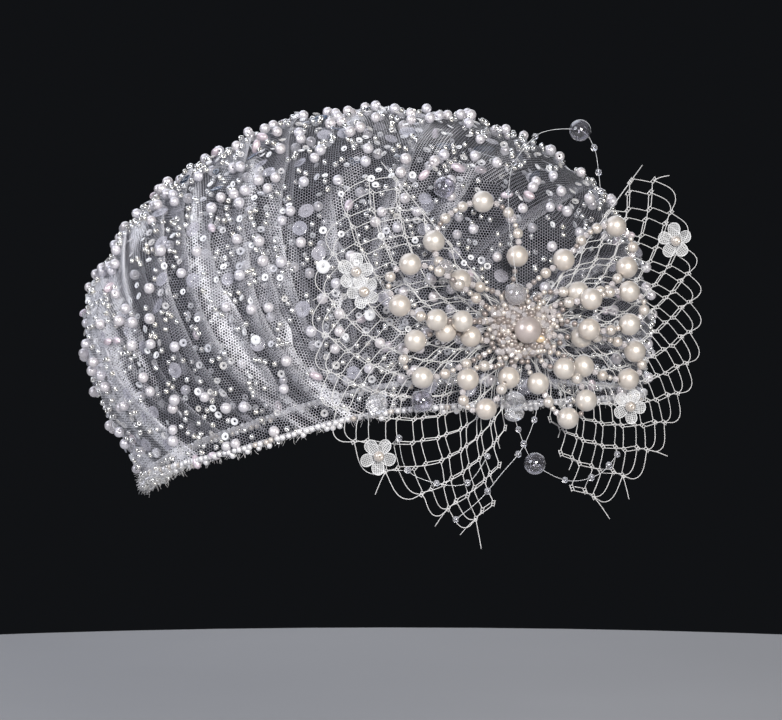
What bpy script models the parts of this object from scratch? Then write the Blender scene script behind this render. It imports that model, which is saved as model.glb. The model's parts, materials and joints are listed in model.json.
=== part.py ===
"""A bridal cap of gathered beaded tulle with a birdcage net bow, pearl loops and small flowers.

The frame is metres with +Z up. +X is the wearer's front, and the bow is on the -Y side. The origin is the
middle of the crown's inner surface, where the cap rests on top of the head. Tables below are in millimetres
and degrees, and every function that reads one turns it into metres.
"""

import math

import bmesh
import bpy
from mathutils import Vector
from mathutils.bvhtree import BVHTree

MM = 0.001
GAP = 0.35 * MM

# The cap: its upright middle line stands a little behind the origin.
CAP_AXIS_X = -5 * MM
CAP_WALL = 1.0 * MM
CAP_AROUND = 64
CAP_LOWER_RINGS = 5
CAP_UPPER_RINGS = 15
INNER_STEP = 2  # the plain inner face has every second row and every second column

# Half the cap, from the forehead at 0 degrees to the nape at 180. The other half mirrors it.
SECTION_COLUMNS = ("azimuth", "rim_radius", "rim_height", "bulge_radius", "bulge_height", "roundness")
SECTIONS = (
    (0, 97.5, -106, 103.5, -85, 2.15),
    (45, 88, -106, 93, -80, 2.10),
    (90, 79, -109, 85, -76, 2.10),
    (135, 84, -126, 97, -80, 1.95),
    (180, 86, -137, 111, -86, 1.80),
)

# Folds fan out from a gather below the bow, and curl upwards as they run back over the cap.
GATHER_X = 4 * MM
GATHER_Z = -122 * MM
FOLD_CURL = 520  # degrees for each metre away from the gather
# Columns: direction at the gather, height, half width.
FOLDS = (
    (60, 1.8, 4),
    (78, 2.2, 4),
    (95, 1.9, 3.5),
    (111, 2.6, 4),
    (127, 2.0, 3.5),
    (142, 2.8, 4),
    (158, 2.2, 3.5),
    (174, 3.0, 4),
    (190, 2.1, 3.5),
    (206, 2.8, 4),
    (222, 2.0, 3.5),
    (238, 2.6, 4),
    (254, 1.8, 3.5),
)
FOLD_FADE_AT_RIM = 10 * MM
FOLD_FADE_AT_TOP = 6 * MM
TOP_FOLD_SHARE = 0.35  # how much of a fold is left at the very top

HEM_PEARL_RADIUS = 1.5 * MM
HEM_POINTS = 56
HEM_CLEAR = 0.6 * MM  # more than a touch, because wall and string are both faceted

# The bow: its middle, and the shallow bowl in which its net lies. It turns back towards the forehead.
BOW_X = 46 * MM
BOW_Z = -79 * MM
BOW_SLOPE = 0.31
BOW_CURVE = 2.6  # for each metre
BOW_LEAN = 5.0  # for each metre, above the middle only
NET_OFF_CAP = 1.6 * MM
NET_THICK = 1.0 * MM
NET_STRAND = 0.5 * MM  # half the width of a strand
NET_RIPPLE = 1.4 * MM
NET_RIPPLE_COLUMNS = 2.5  # from one gather to the next

# Net rows, as shares of the fan's reach.
NET_ROWS = (0.19, 0.30, 0.42, 0.55, 0.69, 0.84, 1.0)
NET_COLUMNS = 10
# Each fan's outline, with columns: direction, reach.
FANS = {
    "net_fan_left": ((130, 82), (157, 76), (185, 73), (210, 76), (240, 72), (261, 74)),
    "net_fan_right": ((52, 78), (27, 70), (5, 66), (-20, 66), (-45, 68), (-72, 71)),
}

# Knot of tiny beads at the bow's middle.
KNOT_RADIUS = 10 * MM
KNOT_HALF_DEPTH = 5 * MM
KNOT_AROUND = 16
KNOT_OVER_NET = 3.6 * MM  # from the net to the knot's widest plane
CENTRE_PEARL_RADIUS = 4.8 * MM
CENTRE_PEARL_SINKS = 2.4 * MM

# Wired loops of strung pearls. Each loop's two legs meet the knot in the slot at knot_direction.
PEARL_RADIUS = 3.9 * MM
STRING_RADIUS = 1.45 * MM
STRING_SIDES = 10
LEG_HALF_SPACING = 11.25
LEG_CLEAR = 0.6 * MM
LEG_STRAIGHT = 5 * MM
LEG_RISE = 0.4  # share of the loop's lift that its legs reach at once
LOOP_STEPS = 9
LOOP_FROM = 0.42  # where the drop shape takes over from the legs, in half turns
DROP_WIDEST = 0.65  # the most of sin(t) * sin(t / 2) ** 2
# Columns: name, direction of its slot, direction, reach, half width, height over the net, and where its
# large pearls sit, as shares of its length.
LOOPS = (
    ("pearl_loop_left_1", 112.5, 117, 48, 15.0, 7.0, (0.19, 0.39, 0.61, 0.79)),
    ("pearl_loop_left_2", 157.5, 158, 50, 8.5, 13.5, (0.40, 0.58, 0.73, 0.84)),
    ("pearl_loop_left_3", 202.5, 196, 43, 7.5, 7.0, (0.25, 0.42, 0.61, 0.84)),
    ("pearl_loop_left_4", 247.5, 236, 33, 6.2, 12.0, (0.33, 0.56, 0.80)),
    ("pearl_loop_right_1", 67.5, 41, 51, 9.5, 7.5, (0.22, 0.42, 0.60, 0.79)),
    ("pearl_loop_right_2", 22.5, 11, 45, 6.5, 14.5, (0.25, 0.42, 0.60, 0.79)),
    ("pearl_loop_right_3", -22.5, -19, 46, 6.5, 7.5, (0.24, 0.42, 0.60, 0.78)),
    ("pearl_loop_right_4", -67.5, -56, 37, 6.5, 11.0, (0.27, 0.46, 0.62, 0.80)),
)

# Clear wires with glass beads.
WIRE_RADIUS = 0.5 * MM
GLASS_RADIUS = 3.9 * MM
# Columns: name, where its beads sit as shares of its length, and points across, up and off the net, from
# the bow's middle.
SPRIGS = (
    (
        "crystal_sprig_top",
        (0.76,),
        (
            (-0.5, 7.5, 7.85),
            (-3, 26, 13),
            (-4.6, 41, 13),
            (-3.6, 55, 12),
            (-0.4, 61.5, 11),
            (8, 69.5, 10),
            (22, 70.3, 9),
            (27, 64, 9),
            (28.4, 55, 9),
            (29, 47, 10),
        ),
    ),
    (
        "crystal_sprig_low",
        (0.22, 0.505),
        (
            (0.4, -10.9, 5),
            (-0.6, -19, 7),
            (-2.6, -28, 7.5),
            (-0.4, -37, 7),
            (5, -47.6, 9),
            (17, -54, 8),
            (28.4, -52, 7),
            (35, -45, 7),
        ),
    ),
)

# Organza flowers that lie on the net, and beads sewn through it: across and up from the bow's middle.
FLOWER_RADIUS = 6.6 * MM
FLOWER_PETALS = 5
FLOWER_THICK = 1.0 * MM
PETAL_NOTCH = 0.38  # depth of the notch between petals, as a share of the radius
FLOWER_PEARL_RADIUS = 2.0 * MM
# Rings of the flower's pearl: share of its radius, and height in millimetres.
FLOWER_PEARL_RINGS = ((1.0, 1.2), (0.75, 2.6))
FLOWER_HIGH = 3.2 * MM
FLOWERS = {
    "flower_left_high": (-59, 21),
    "flower_left_low": (-51, -44),
    "flower_right_high": (56, 31),
    "flower_right_low": (39, -28),
}
SEWN_BEADS = {
    "hem_crystal_back": (-51, -26),
    "hem_crystal_front": (-35, -25),
    "crown_bubble": (-27, 50),
}

FAR_OUT = 100 * MM  # where a piece starts before it is seated
SEAT_STEP = 0.05 * MM

COLOURS = {  # base colour, roughness
    "cap": ((0.80, 0.81, 0.88), 0.75),
    "net": ((0.90, 0.89, 0.86), 0.6),
    "pearl": ((0.93, 0.89, 0.80), 0.25),
    "knot": ((0.88, 0.76, 0.72), 0.3),
    "glass": ((0.86, 0.89, 0.93), 0.08),
    "petal": ((0.93, 0.93, 0.92), 0.7),
}


def material(kind):
    """The named finish, made once."""
    if kind in bpy.data.materials:
        return bpy.data.materials[kind]
    made = bpy.data.materials.new(kind)
    made.use_nodes = True
    colour, roughness = COLOURS[kind]
    shader = made.node_tree.nodes["Principled BSDF"]
    shader.inputs["Base Color"].default_value = (*colour, 1)
    shader.inputs["Roughness"].default_value = roughness
    shader.inputs["Metallic"].default_value = 0
    return made


def make_object(name, mesh_builder, kind, smooth_deg=40):
    """Turns a finished bmesh into a named object with outward faces."""
    bmesh.ops.recalc_face_normals(mesh_builder, faces=mesh_builder.faces)
    bmesh.ops.triangulate(mesh_builder, faces=mesh_builder.faces)
    mesh = bpy.data.meshes.new(name)
    mesh_builder.to_mesh(mesh)
    mesh_builder.free()
    mesh.materials.append(material(kind))
    mesh.shade_smooth()
    mesh.set_sharp_from_angle(angle=math.radians(smooth_deg))
    made = bpy.data.objects.new(name, mesh)
    bpy.context.collection.objects.link(made)
    return made


def surface_of(*objects):
    """A search tree of several finished objects."""
    points = []
    faces = []
    for one in objects:
        start = len(points)
        points += [one.matrix_world @ v.co for v in one.data.vertices]
        faces += [[start + i for i in p.vertices] for p in one.data.polygons]
    return BVHTree.FromPolygons(points, faces)


def smooth_value(rows, key, column):
    """Reads a column of a table at key, on a smooth curve through its rows."""
    count = len(rows)
    low = 0
    while low < count - 2 and abs(key - rows[0][0]) > abs(rows[low + 1][0] - rows[0][0]):
        low += 1
    a = rows[max(low - 1, 0)] if low else rows[1]
    b = rows[low]
    c = rows[low + 1]
    d = rows[low + 2] if low + 2 < count else rows[count - 2]
    share = (key - b[0]) / (c[0] - b[0])
    slope_b = (c[column] - a[column]) / 2
    slope_c = (d[column] - b[column]) / 2
    square = share * share
    cube = square * share
    return (
        (2 * cube - 3 * square + 1) * b[column]
        + (cube - 2 * square + share) * slope_b
        + (3 * square - 2 * cube) * c[column]
        + (cube - square) * slope_c
    )


def section(azimuth_deg):
    """The cap's sizes at one azimuth, by column name."""
    key = abs((azimuth_deg + 180) % 360 - 180)
    return {
        name: smooth_value(SECTIONS, key, i + 1) for i, name in enumerate(SECTION_COLUMNS[1:])
    }


def cap_point(azimuth_deg, ring):
    """A point of the smooth cap. Ring 0 is the rim, and the last ring is the top."""
    size = section(azimuth_deg)
    if ring <= CAP_LOWER_RINGS:
        share = ring / CAP_LOWER_RINGS
        swell = math.sin(share * math.pi / 2)
        radius = size["rim_radius"] + (size["bulge_radius"] - size["rim_radius"]) * swell
        height = size["rim_height"] + (size["bulge_height"] - size["rim_height"]) * share
    else:
        turn = (ring - CAP_LOWER_RINGS) / CAP_UPPER_RINGS * math.pi / 2
        power = 2 / size["roundness"]
        radius = size["bulge_radius"] * max(math.cos(turn), 0) ** power
        height = size["bulge_height"] * (1 - math.sin(turn) ** power)
    angle = math.radians(azimuth_deg)
    return Vector(
        (
            CAP_AXIS_X + radius * MM * math.cos(angle),
            radius * MM * math.sin(angle),
            height * MM,
        )
    )


def fold_height(point, rim_z):
    """How far the gathered cloth stands proud of the smooth cap at a point."""
    across = point.x - GATHER_X
    up = point.z - GATHER_Z
    away = math.hypot(across, up)
    facing = math.degrees(math.atan2(up, across)) % 360 + FOLD_CURL * away
    total = 0
    for direction, height, half_width in FOLDS:
        total += height * math.exp(-(((facing - direction) / half_width) ** 2))
    from_rim = min(1, max(0, (point.z - rim_z) / FOLD_FADE_AT_RIM))
    from_top = min(1, max(0, -point.z / FOLD_FADE_AT_TOP))
    return total * MM * from_rim * (TOP_FOLD_SHARE + (1 - TOP_FOLD_SHARE) * from_top)


def outward(azimuth_deg, ring):
    """The smooth cap's outward direction."""
    step = 0.4
    last = CAP_LOWER_RINGS + CAP_UPPER_RINGS
    along = cap_point(azimuth_deg + step, ring) - cap_point(azimuth_deg - step, ring)
    up = cap_point(azimuth_deg, min(ring + step, last)) - cap_point(azimuth_deg, max(ring - step, 0))
    return along.cross(up).normalized()


def shell_rings(mesh, step, offset):
    """Rings of points over the cap, and the top point. offset gives each point's height above it."""
    last = CAP_LOWER_RINGS + CAP_UPPER_RINGS
    rings = []
    for ring in range(0, last, step):
        row = []
        for i in range(0, CAP_AROUND, step):
            azimuth = 360 * i / CAP_AROUND
            place = cap_point(azimuth, ring)
            rim_z = section(azimuth)["rim_height"] * MM
            row.append(mesh.verts.new(place + outward(azimuth, ring) * offset(place, rim_z)))
        rings.append(row)
    top = Vector((CAP_AXIS_X, 0, offset(Vector((CAP_AXIS_X, 0, 0)), -1)))
    return rings, mesh.verts.new(top)


def skin(mesh, rings, top):
    """Faces between the rings and round the top point."""
    for low, high in zip(rings, rings[1:]):
        for i in range(len(low)):
            k = (i + 1) % len(low)
            mesh.faces.new((low[i], low[k], high[k], high[i]))
    for i in range(len(rings[-1])):
        mesh.faces.new((rings[-1][i], rings[-1][(i + 1) % len(rings[-1])], top))


def make_cap():
    """The hollow cap: folded outside, plain inside, open below."""
    mesh = bmesh.new()
    outer, outer_top = shell_rings(mesh, 1, lambda p, rim: CAP_WALL + fold_height(p, rim))
    inner, inner_top = shell_rings(mesh, INNER_STEP, lambda p, rim: 0)
    skin(mesh, outer, outer_top)
    skin(mesh, inner, inner_top)
    rim_out = outer[0]
    rim_in = inner[0]
    for k in range(len(rim_in)):
        a = rim_out[k * INNER_STEP]
        b = rim_out[k * INNER_STEP + 1]
        c = rim_out[(k * INNER_STEP + INNER_STEP) % CAP_AROUND]
        d = rim_in[(k + 1) % len(rim_in)]
        mesh.faces.new((a, b, rim_in[k]))
        mesh.faces.new((b, d, rim_in[k]))
        mesh.faces.new((b, c, d))
    return make_object("cap_crown", mesh, "cap", 60)


def make_hem_string():
    """The closed row of small pearls round the outside of the rim, as one round tube."""
    curve = bpy.data.curves.new("hem_pearl_string", "CURVE")
    curve.dimensions = "3D"
    curve.resolution_u = 1
    curve.render_resolution_u = 0
    curve.bevel_depth = HEM_PEARL_RADIUS
    curve.bevel_resolution = 2
    spline = curve.splines.new("POLY")
    spline.points.add(HEM_POINTS - 1)
    spline.use_cyclic_u = True
    off_wall = CAP_WALL + HEM_CLEAR + HEM_PEARL_RADIUS
    for i, point in enumerate(spline.points):
        azimuth = 360 * i / HEM_POINTS
        place = cap_point(azimuth, 0) + outward(azimuth, 0) * off_wall
        point.co = (*place, 1)
    curve.materials.append(material("pearl"))
    made = bpy.data.objects.new("hem_pearl_string", curve)
    bpy.context.collection.objects.link(made)
    return made


def front_of(tree, x, z, spread):
    """The surface's most forward Y near a point, seen from -Y, or None beside it."""
    found = []
    for dx, dz in ((0, 0), (spread, 0), (-spread, 0), (0, spread), (0, -spread)):
        hit = tree.ray_cast(Vector((x + dx, -1, z + dz)), Vector((0, 1, 0)))[0]
        if hit is not None:
            found.append(hit.y)
    return min(found) if found else None


class Bow:
    """Places points of the bow: across and up from its middle, and how far off the net."""

    def __init__(self, cap_tree, knot_centre):
        self.cap = cap_tree
        self.middle_y = knot_centre.y + KNOT_OVER_NET

    def place(self, across, up, off):
        x = BOW_X + across
        z = BOW_Z + up
        y = self.middle_y + BOW_SLOPE * across + BOW_CURVE * across**2
        y += BOW_LEAN * max(up, 0) ** 2
        cap_y = front_of(self.cap, x, z, 5 * MM)
        if cap_y is not None:
            y = min(y, cap_y - NET_OFF_CAP)
        return Vector((x, y - off, z))


def fan_reach(rows, share):
    """Direction and reach at a share of the way through a fan's table."""
    place = share * (len(rows) - 1)
    low = min(int(place), len(rows) - 2)
    part = place - low
    return [rows[low][k] + (rows[low + 1][k] - rows[low][k]) * part for k in (0, 1)]


def make_fan(name, rows, bow):
    """A gathered fan of coarse diamond netting, cut through, with a solid tuft at its gather."""
    mesh = bmesh.new()
    below = KNOT_OVER_NET - NET_RIPPLE - NET_THICK
    inner_radius = KNOT_RADIUS * math.sqrt(1 - (below / KNOT_HALF_DEPTH) ** 2) + GAP

    def node(row, column):
        direction, reach = fan_reach(rows, column / NET_COLUMNS)
        angle = math.radians(direction)
        radius = reach * MM * NET_ROWS[row]
        ripple = NET_RIPPLE * NET_ROWS[row] * math.sin(2 * math.pi * column / NET_RIPPLE_COLUMNS)
        spot = bow.place(radius * math.cos(angle), radius * math.sin(angle), NET_RIPPLE + ripple)
        return mesh.verts.new(spot)

    grid = {}
    for row in range(len(NET_ROWS)):
        shift = (row % 2) / 2
        for column in range(NET_COLUMNS + 1 - row % 2):
            grid[row, column + shift] = node(row, column + shift)

    cells = []
    for row in range(len(NET_ROWS) - 2):
        for column in [key[1] for key in grid if key[0] == row]:
            corners = [
                grid.get(key)
                for key in (
                    (row, column),
                    (row + 1, column + 0.5),
                    (row + 2, column),
                    (row + 1, column - 0.5),
                )
            ]
            if None not in corners:
                cells.append(mesh.faces.new(corners))

    tuft = []
    for column in range(NET_COLUMNS):
        next_one = grid[0, column + 1.0]
        mesh.faces.new((grid[0, float(column)], next_one, grid[1, column + 0.5]))
    for column in range(NET_COLUMNS + 1):
        direction = math.radians(fan_reach(rows, column / NET_COLUMNS)[0])
        across = inner_radius * math.cos(direction)
        up = inner_radius * math.sin(direction)
        tuft.append(mesh.verts.new(bow.place(across, up, NET_RIPPLE)))
    for column in range(NET_COLUMNS):
        inner = (tuft[column], tuft[column + 1])
        mesh.faces.new((*inner, grid[0, column + 1.0], grid[0, float(column)]))

    bmesh.ops.recalc_face_normals(mesh, faces=mesh.faces)
    bmesh.ops.inset_individual(mesh, faces=cells, thickness=NET_STRAND, use_even_offset=True)
    bmesh.ops.delete(mesh, geom=cells, context="FACES")
    bmesh.ops.solidify(mesh, geom=mesh.faces[:], thickness=NET_THICK)
    return make_object(name, mesh, "net", 30)


def sweep(mesh, centres, radii, sides):
    """A closed round tube through the centres, with its own radius at each."""
    rings = []
    side = None
    for i, centre in enumerate(centres):
        ahead = centres[min(i + 1, len(centres) - 1)] - centres[max(i - 1, 0)]
        ahead.normalize()
        if side is None:
            side = ahead.orthogonal()
        side = (side - ahead * side.dot(ahead)).normalized()
        other = ahead.cross(side)
        ring = []
        for k in range(sides):
            turn = 2 * math.pi * k / sides
            spoke = side * math.cos(turn) + other * math.sin(turn)
            ring.append(mesh.verts.new(centre + spoke * radii[i]))
        rings.append(ring)
    for low, high in zip(rings, rings[1:]):
        for k in range(sides):
            n = (k + 1) % sides
            mesh.faces.new((low[k], low[n], high[n], high[k]))
    mesh.faces.new(rings[0])
    mesh.faces.new(rings[-1])


def rounded(points, per_span=8):
    """A smooth line through hand-set points."""
    line = []
    count = len(points)
    for i in range(count - 1):
        a = points[max(i - 1, 0)]
        b = points[i]
        c = points[i + 1]
        d = points[min(i + 2, count - 1)]
        for k in range(per_span):
            t = k / per_span
            line.append(
                0.5
                * (
                    2 * b
                    + (c - a) * t
                    + (2 * a - 5 * b + 4 * c - d) * t**2
                    + (3 * b - a - 3 * c + d) * t**3
                )
            )
    line.append(points[-1].copy())
    return line


def at_length(line, lengths, wanted):
    """The point of a line at a length along it."""
    for i in range(len(line) - 1):
        if lengths[i + 1] >= wanted:
            span = max(lengths[i + 1] - lengths[i], 1e-9)
            return line[i].lerp(line[i + 1], (wanted - lengths[i]) / span)
    return line[-1].copy()


# Where rings stand on a bead, as shares of its radius, and how wide the bead is there.
BEAD_RINGS = ((-0.86, 0.51), (-0.36, 0.93), (0.36, 0.93), (0.86, 0.51))


def make_string(name, line, thread_radius, bead_radius, bead_shares, kind, spacing):
    """A string along a line, with round beads fused on it at shares of its length."""
    lengths = [0]
    for a, b in zip(line, line[1:]):
        lengths.append(lengths[-1] + (b - a).length)
    whole = lengths[-1]
    stops = [(0, thread_radius), (whole, thread_radius)]
    bead_places = [share * whole for share in bead_shares]
    for place in bead_places:
        stops += [(place + at * bead_radius, wide * bead_radius) for at, wide in BEAD_RINGS]
    plain = max(2, round(whole / spacing))
    for i in range(1, plain):
        place = whole * i / plain
        if all(abs(place - bead) > bead_radius * 1.35 for bead in bead_places):
            stops.append((place, thread_radius))
    stops.sort()
    mesh = bmesh.new()
    centres = [at_length(line, lengths, place) for place, _ in stops]
    sweep(mesh, centres, [radius for _, radius in stops], STRING_SIDES)
    return make_object(name, mesh, kind)


def make_loop(row, bow):
    """One wired loop of pearls, as a drop shape whose legs meet the knot."""
    name, knot_direction, direction, reach, half_width, lift, pearls = row
    axis = math.radians(direction)
    points = []

    def add(along, beside, off, angle=axis):
        across = along * math.cos(angle) - beside * math.sin(angle)
        up = along * math.sin(angle) + beside * math.cos(angle)
        points.append(bow.place(across, up, off))

    start = KNOT_RADIUS + LEG_CLEAR
    rise = lift * MM - KNOT_OVER_NET
    leg = (
        (start, KNOT_OVER_NET),
        (start + LEG_STRAIGHT / 3, KNOT_OVER_NET),
        (start + LEG_STRAIGHT, KNOT_OVER_NET + LEG_RISE * rise),
    )
    legs = [math.radians(knot_direction + LEG_HALF_SPACING * side) for side in (-1, 1)]
    for radius, off in leg:
        add(radius, 0, off, legs[0])
    for i in range(1, LOOP_STEPS):
        turn = math.pi * (LOOP_FROM + 2 * (1 - LOOP_FROM) * i / LOOP_STEPS)
        along = reach * MM * (1 - math.cos(turn)) / 2
        beside = -half_width * MM * math.sin(turn) * math.sin(turn / 2) ** 2 / DROP_WIDEST
        add(along, beside, lift * MM)
    for radius, off in reversed(leg):
        add(radius, 0, off, legs[1])
    line = rounded(points)
    return make_string(name, line, STRING_RADIUS, PEARL_RADIUS, pearls, "pearl", 7 * MM)


def ball(mesh, centre, radius, around, rows, squash=1.0, facing=Vector((0, -1, 0))):
    """A round bead in a bmesh."""
    made = bmesh.ops.create_uvsphere(mesh, u_segments=around, v_segments=rows, radius=radius)
    turn = Vector((0, 0, 1)).rotation_difference(facing)
    for v in made["verts"]:
        v.co.z *= squash
        v.co = turn @ v.co + centre


def make_knot(cap):
    """The knot of tiny beads, seated on the cap, with a dish for the centre pearl. Gives its centre."""
    facing = Vector((BOW_SLOPE, -1, 0)).normalized()
    centre = Vector((BOW_X, -FAR_OUT, BOW_Z))
    mesh = bmesh.new()
    ball(mesh, centre, KNOT_RADIUS, KNOT_AROUND, 8, KNOT_HALF_DEPTH / KNOT_RADIUS, facing)
    knot = make_object("bow_knot", mesh, "knot")
    centre = centre + seat(knot, [cap])
    front = KNOT_HALF_DEPTH - CENTRE_PEARL_SINKS + CENTRE_PEARL_RADIUS
    dish = centre + facing * front
    cutter_mesh = bmesh.new()
    ball(cutter_mesh, dish, CENTRE_PEARL_RADIUS + GAP, 14, 8, 1, facing)
    cutter = make_object("knot_dish_cutter", cutter_mesh, "knot")
    cutter.hide_render = True
    cutter.display_type = "WIRE"
    cut = knot.modifiers.new("dish", "BOOLEAN")
    cut.operation = "DIFFERENCE"
    cut.solver = "EXACT"
    cut.object = cutter
    pearl_mesh = bmesh.new()
    ball(pearl_mesh, dish, CENTRE_PEARL_RADIUS, 14, 8, 1, facing)
    make_object("centre_pearl", pearl_mesh, "pearl")
    return centre


def seat(made, carriers):
    """Moves an object towards +Y until it lies a small gap from what carries it. Gives the move."""
    inward = Vector((0, 1, 0))
    tree = surface_of(*carriers)
    own = surface_of(made)
    starts = [(tree, v.co, inward) for v in made.data.vertices]
    for carrier in carriers:
        starts += [(own, v.co, -inward) for v in carrier.data.vertices]
    hits = [one.ray_cast(start, way)[3] for one, start, way in starts]
    moved = Vector((0, min(far for far in hits if far is not None), 0))
    for v in made.data.vertices:
        v.co += moved
    while too_near(made, tree):
        for v in made.data.vertices:
            v.co -= inward * SEAT_STEP
        moved -= inward * SEAT_STEP
    return moved


def too_near(made, tree):
    """Whether an object cuts a surface or lies nearer than the small gap to it."""
    if surface_of(made).overlap(tree):
        return True
    return any(tree.find_nearest(v.co, GAP)[0] is not None for v in made.data.vertices)


def make_flower(name, spot, bow, carriers):
    """A flat five-petalled flower with a pearl in the middle."""
    mesh = bmesh.new()
    around = FLOWER_PETALS * 4
    facing = Vector((BOW_SLOPE, -1, 0)).normalized()
    centre = bow.place(spot[0] * MM, spot[1] * MM, FAR_OUT)
    turn = Vector((0, 0, 1)).rotation_difference(facing)

    def point(radius, angle, height):
        local = Vector((radius * math.cos(angle), radius * math.sin(angle), height))
        return mesh.verts.new(centre + turn @ local)

    rows = []
    for height in (0, FLOWER_THICK):
        row = []
        for i in range(around):
            angle = 2 * math.pi * i / around
            lobe = 1 - PETAL_NOTCH * (1 - abs(math.cos(angle * FLOWER_PETALS / 2)))
            row.append(point(FLOWER_RADIUS * lobe, angle, height))
        rows.append(row)
    for share, height in FLOWER_PEARL_RINGS:
        radius = FLOWER_PEARL_RADIUS * share
        rows.append([point(radius, 2 * math.pi * i / around, height * MM) for i in range(around)])
    for low, high in zip(rows, rows[1:]):
        for i in range(around):
            k = (i + 1) % around
            mesh.faces.new((low[i], low[k], high[k], high[i]))
    for row, height in ((rows[0], 0), (rows[-1], FLOWER_HIGH)):
        tip = point(0, 0, height)
        for i in range(around):
            mesh.faces.new((row[i], row[(i + 1) % around], tip))
    made = make_object(name, mesh, "petal")
    seat(made, carriers)
    return made


def make_sewn_bead(name, spot, bow, carriers):
    """A glass bead sewn through the net to the cap."""
    mesh = bmesh.new()
    ball(mesh, bow.place(spot[0] * MM, spot[1] * MM, FAR_OUT), GLASS_RADIUS, 10, 7)
    made = make_object(name, mesh, "glass")
    seat(made, carriers)
    return made


def make_sprig(row, bow):
    """A clear wire with glass beads fused on it."""
    name, beads, points = row
    line = rounded([bow.place(a * MM, u * MM, off * MM) for a, u, off in points])
    return make_string(name, line, WIRE_RADIUS, GLASS_RADIUS, beads, "glass", 8 * MM)


def main():
    for old in list(bpy.data.objects):
        bpy.data.objects.remove(old, do_unlink=True)
    cap = make_cap()
    make_hem_string()
    bow = Bow(surface_of(cap), make_knot(cap))
    fans = [make_fan(name, rows, bow) for name, rows in FANS.items()]
    for row in LOOPS:
        make_loop(row, bow)
    for row in SPRIGS:
        make_sprig(row, bow)
    for name, spot in FLOWERS.items():
        make_flower(name, spot, bow, [cap, *fans])
    for name, spot in SEWN_BEADS.items():
        make_sewn_bead(name, spot, bow, [cap, *fans])


main()
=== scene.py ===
"""Dresses the bridal cap: gathered tulle, sewn beads, netting, pearl loops, flowers and clear wires.

Everything is in metres in the frame's own axes: +Z up, +X the wearer's front, the bow on the -Y side.
Tables are in millimetres and degrees. The bow's own places are across and up from its middle, and off
its net.
"""

import bisect
import itertools
import json
import math
import random

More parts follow.
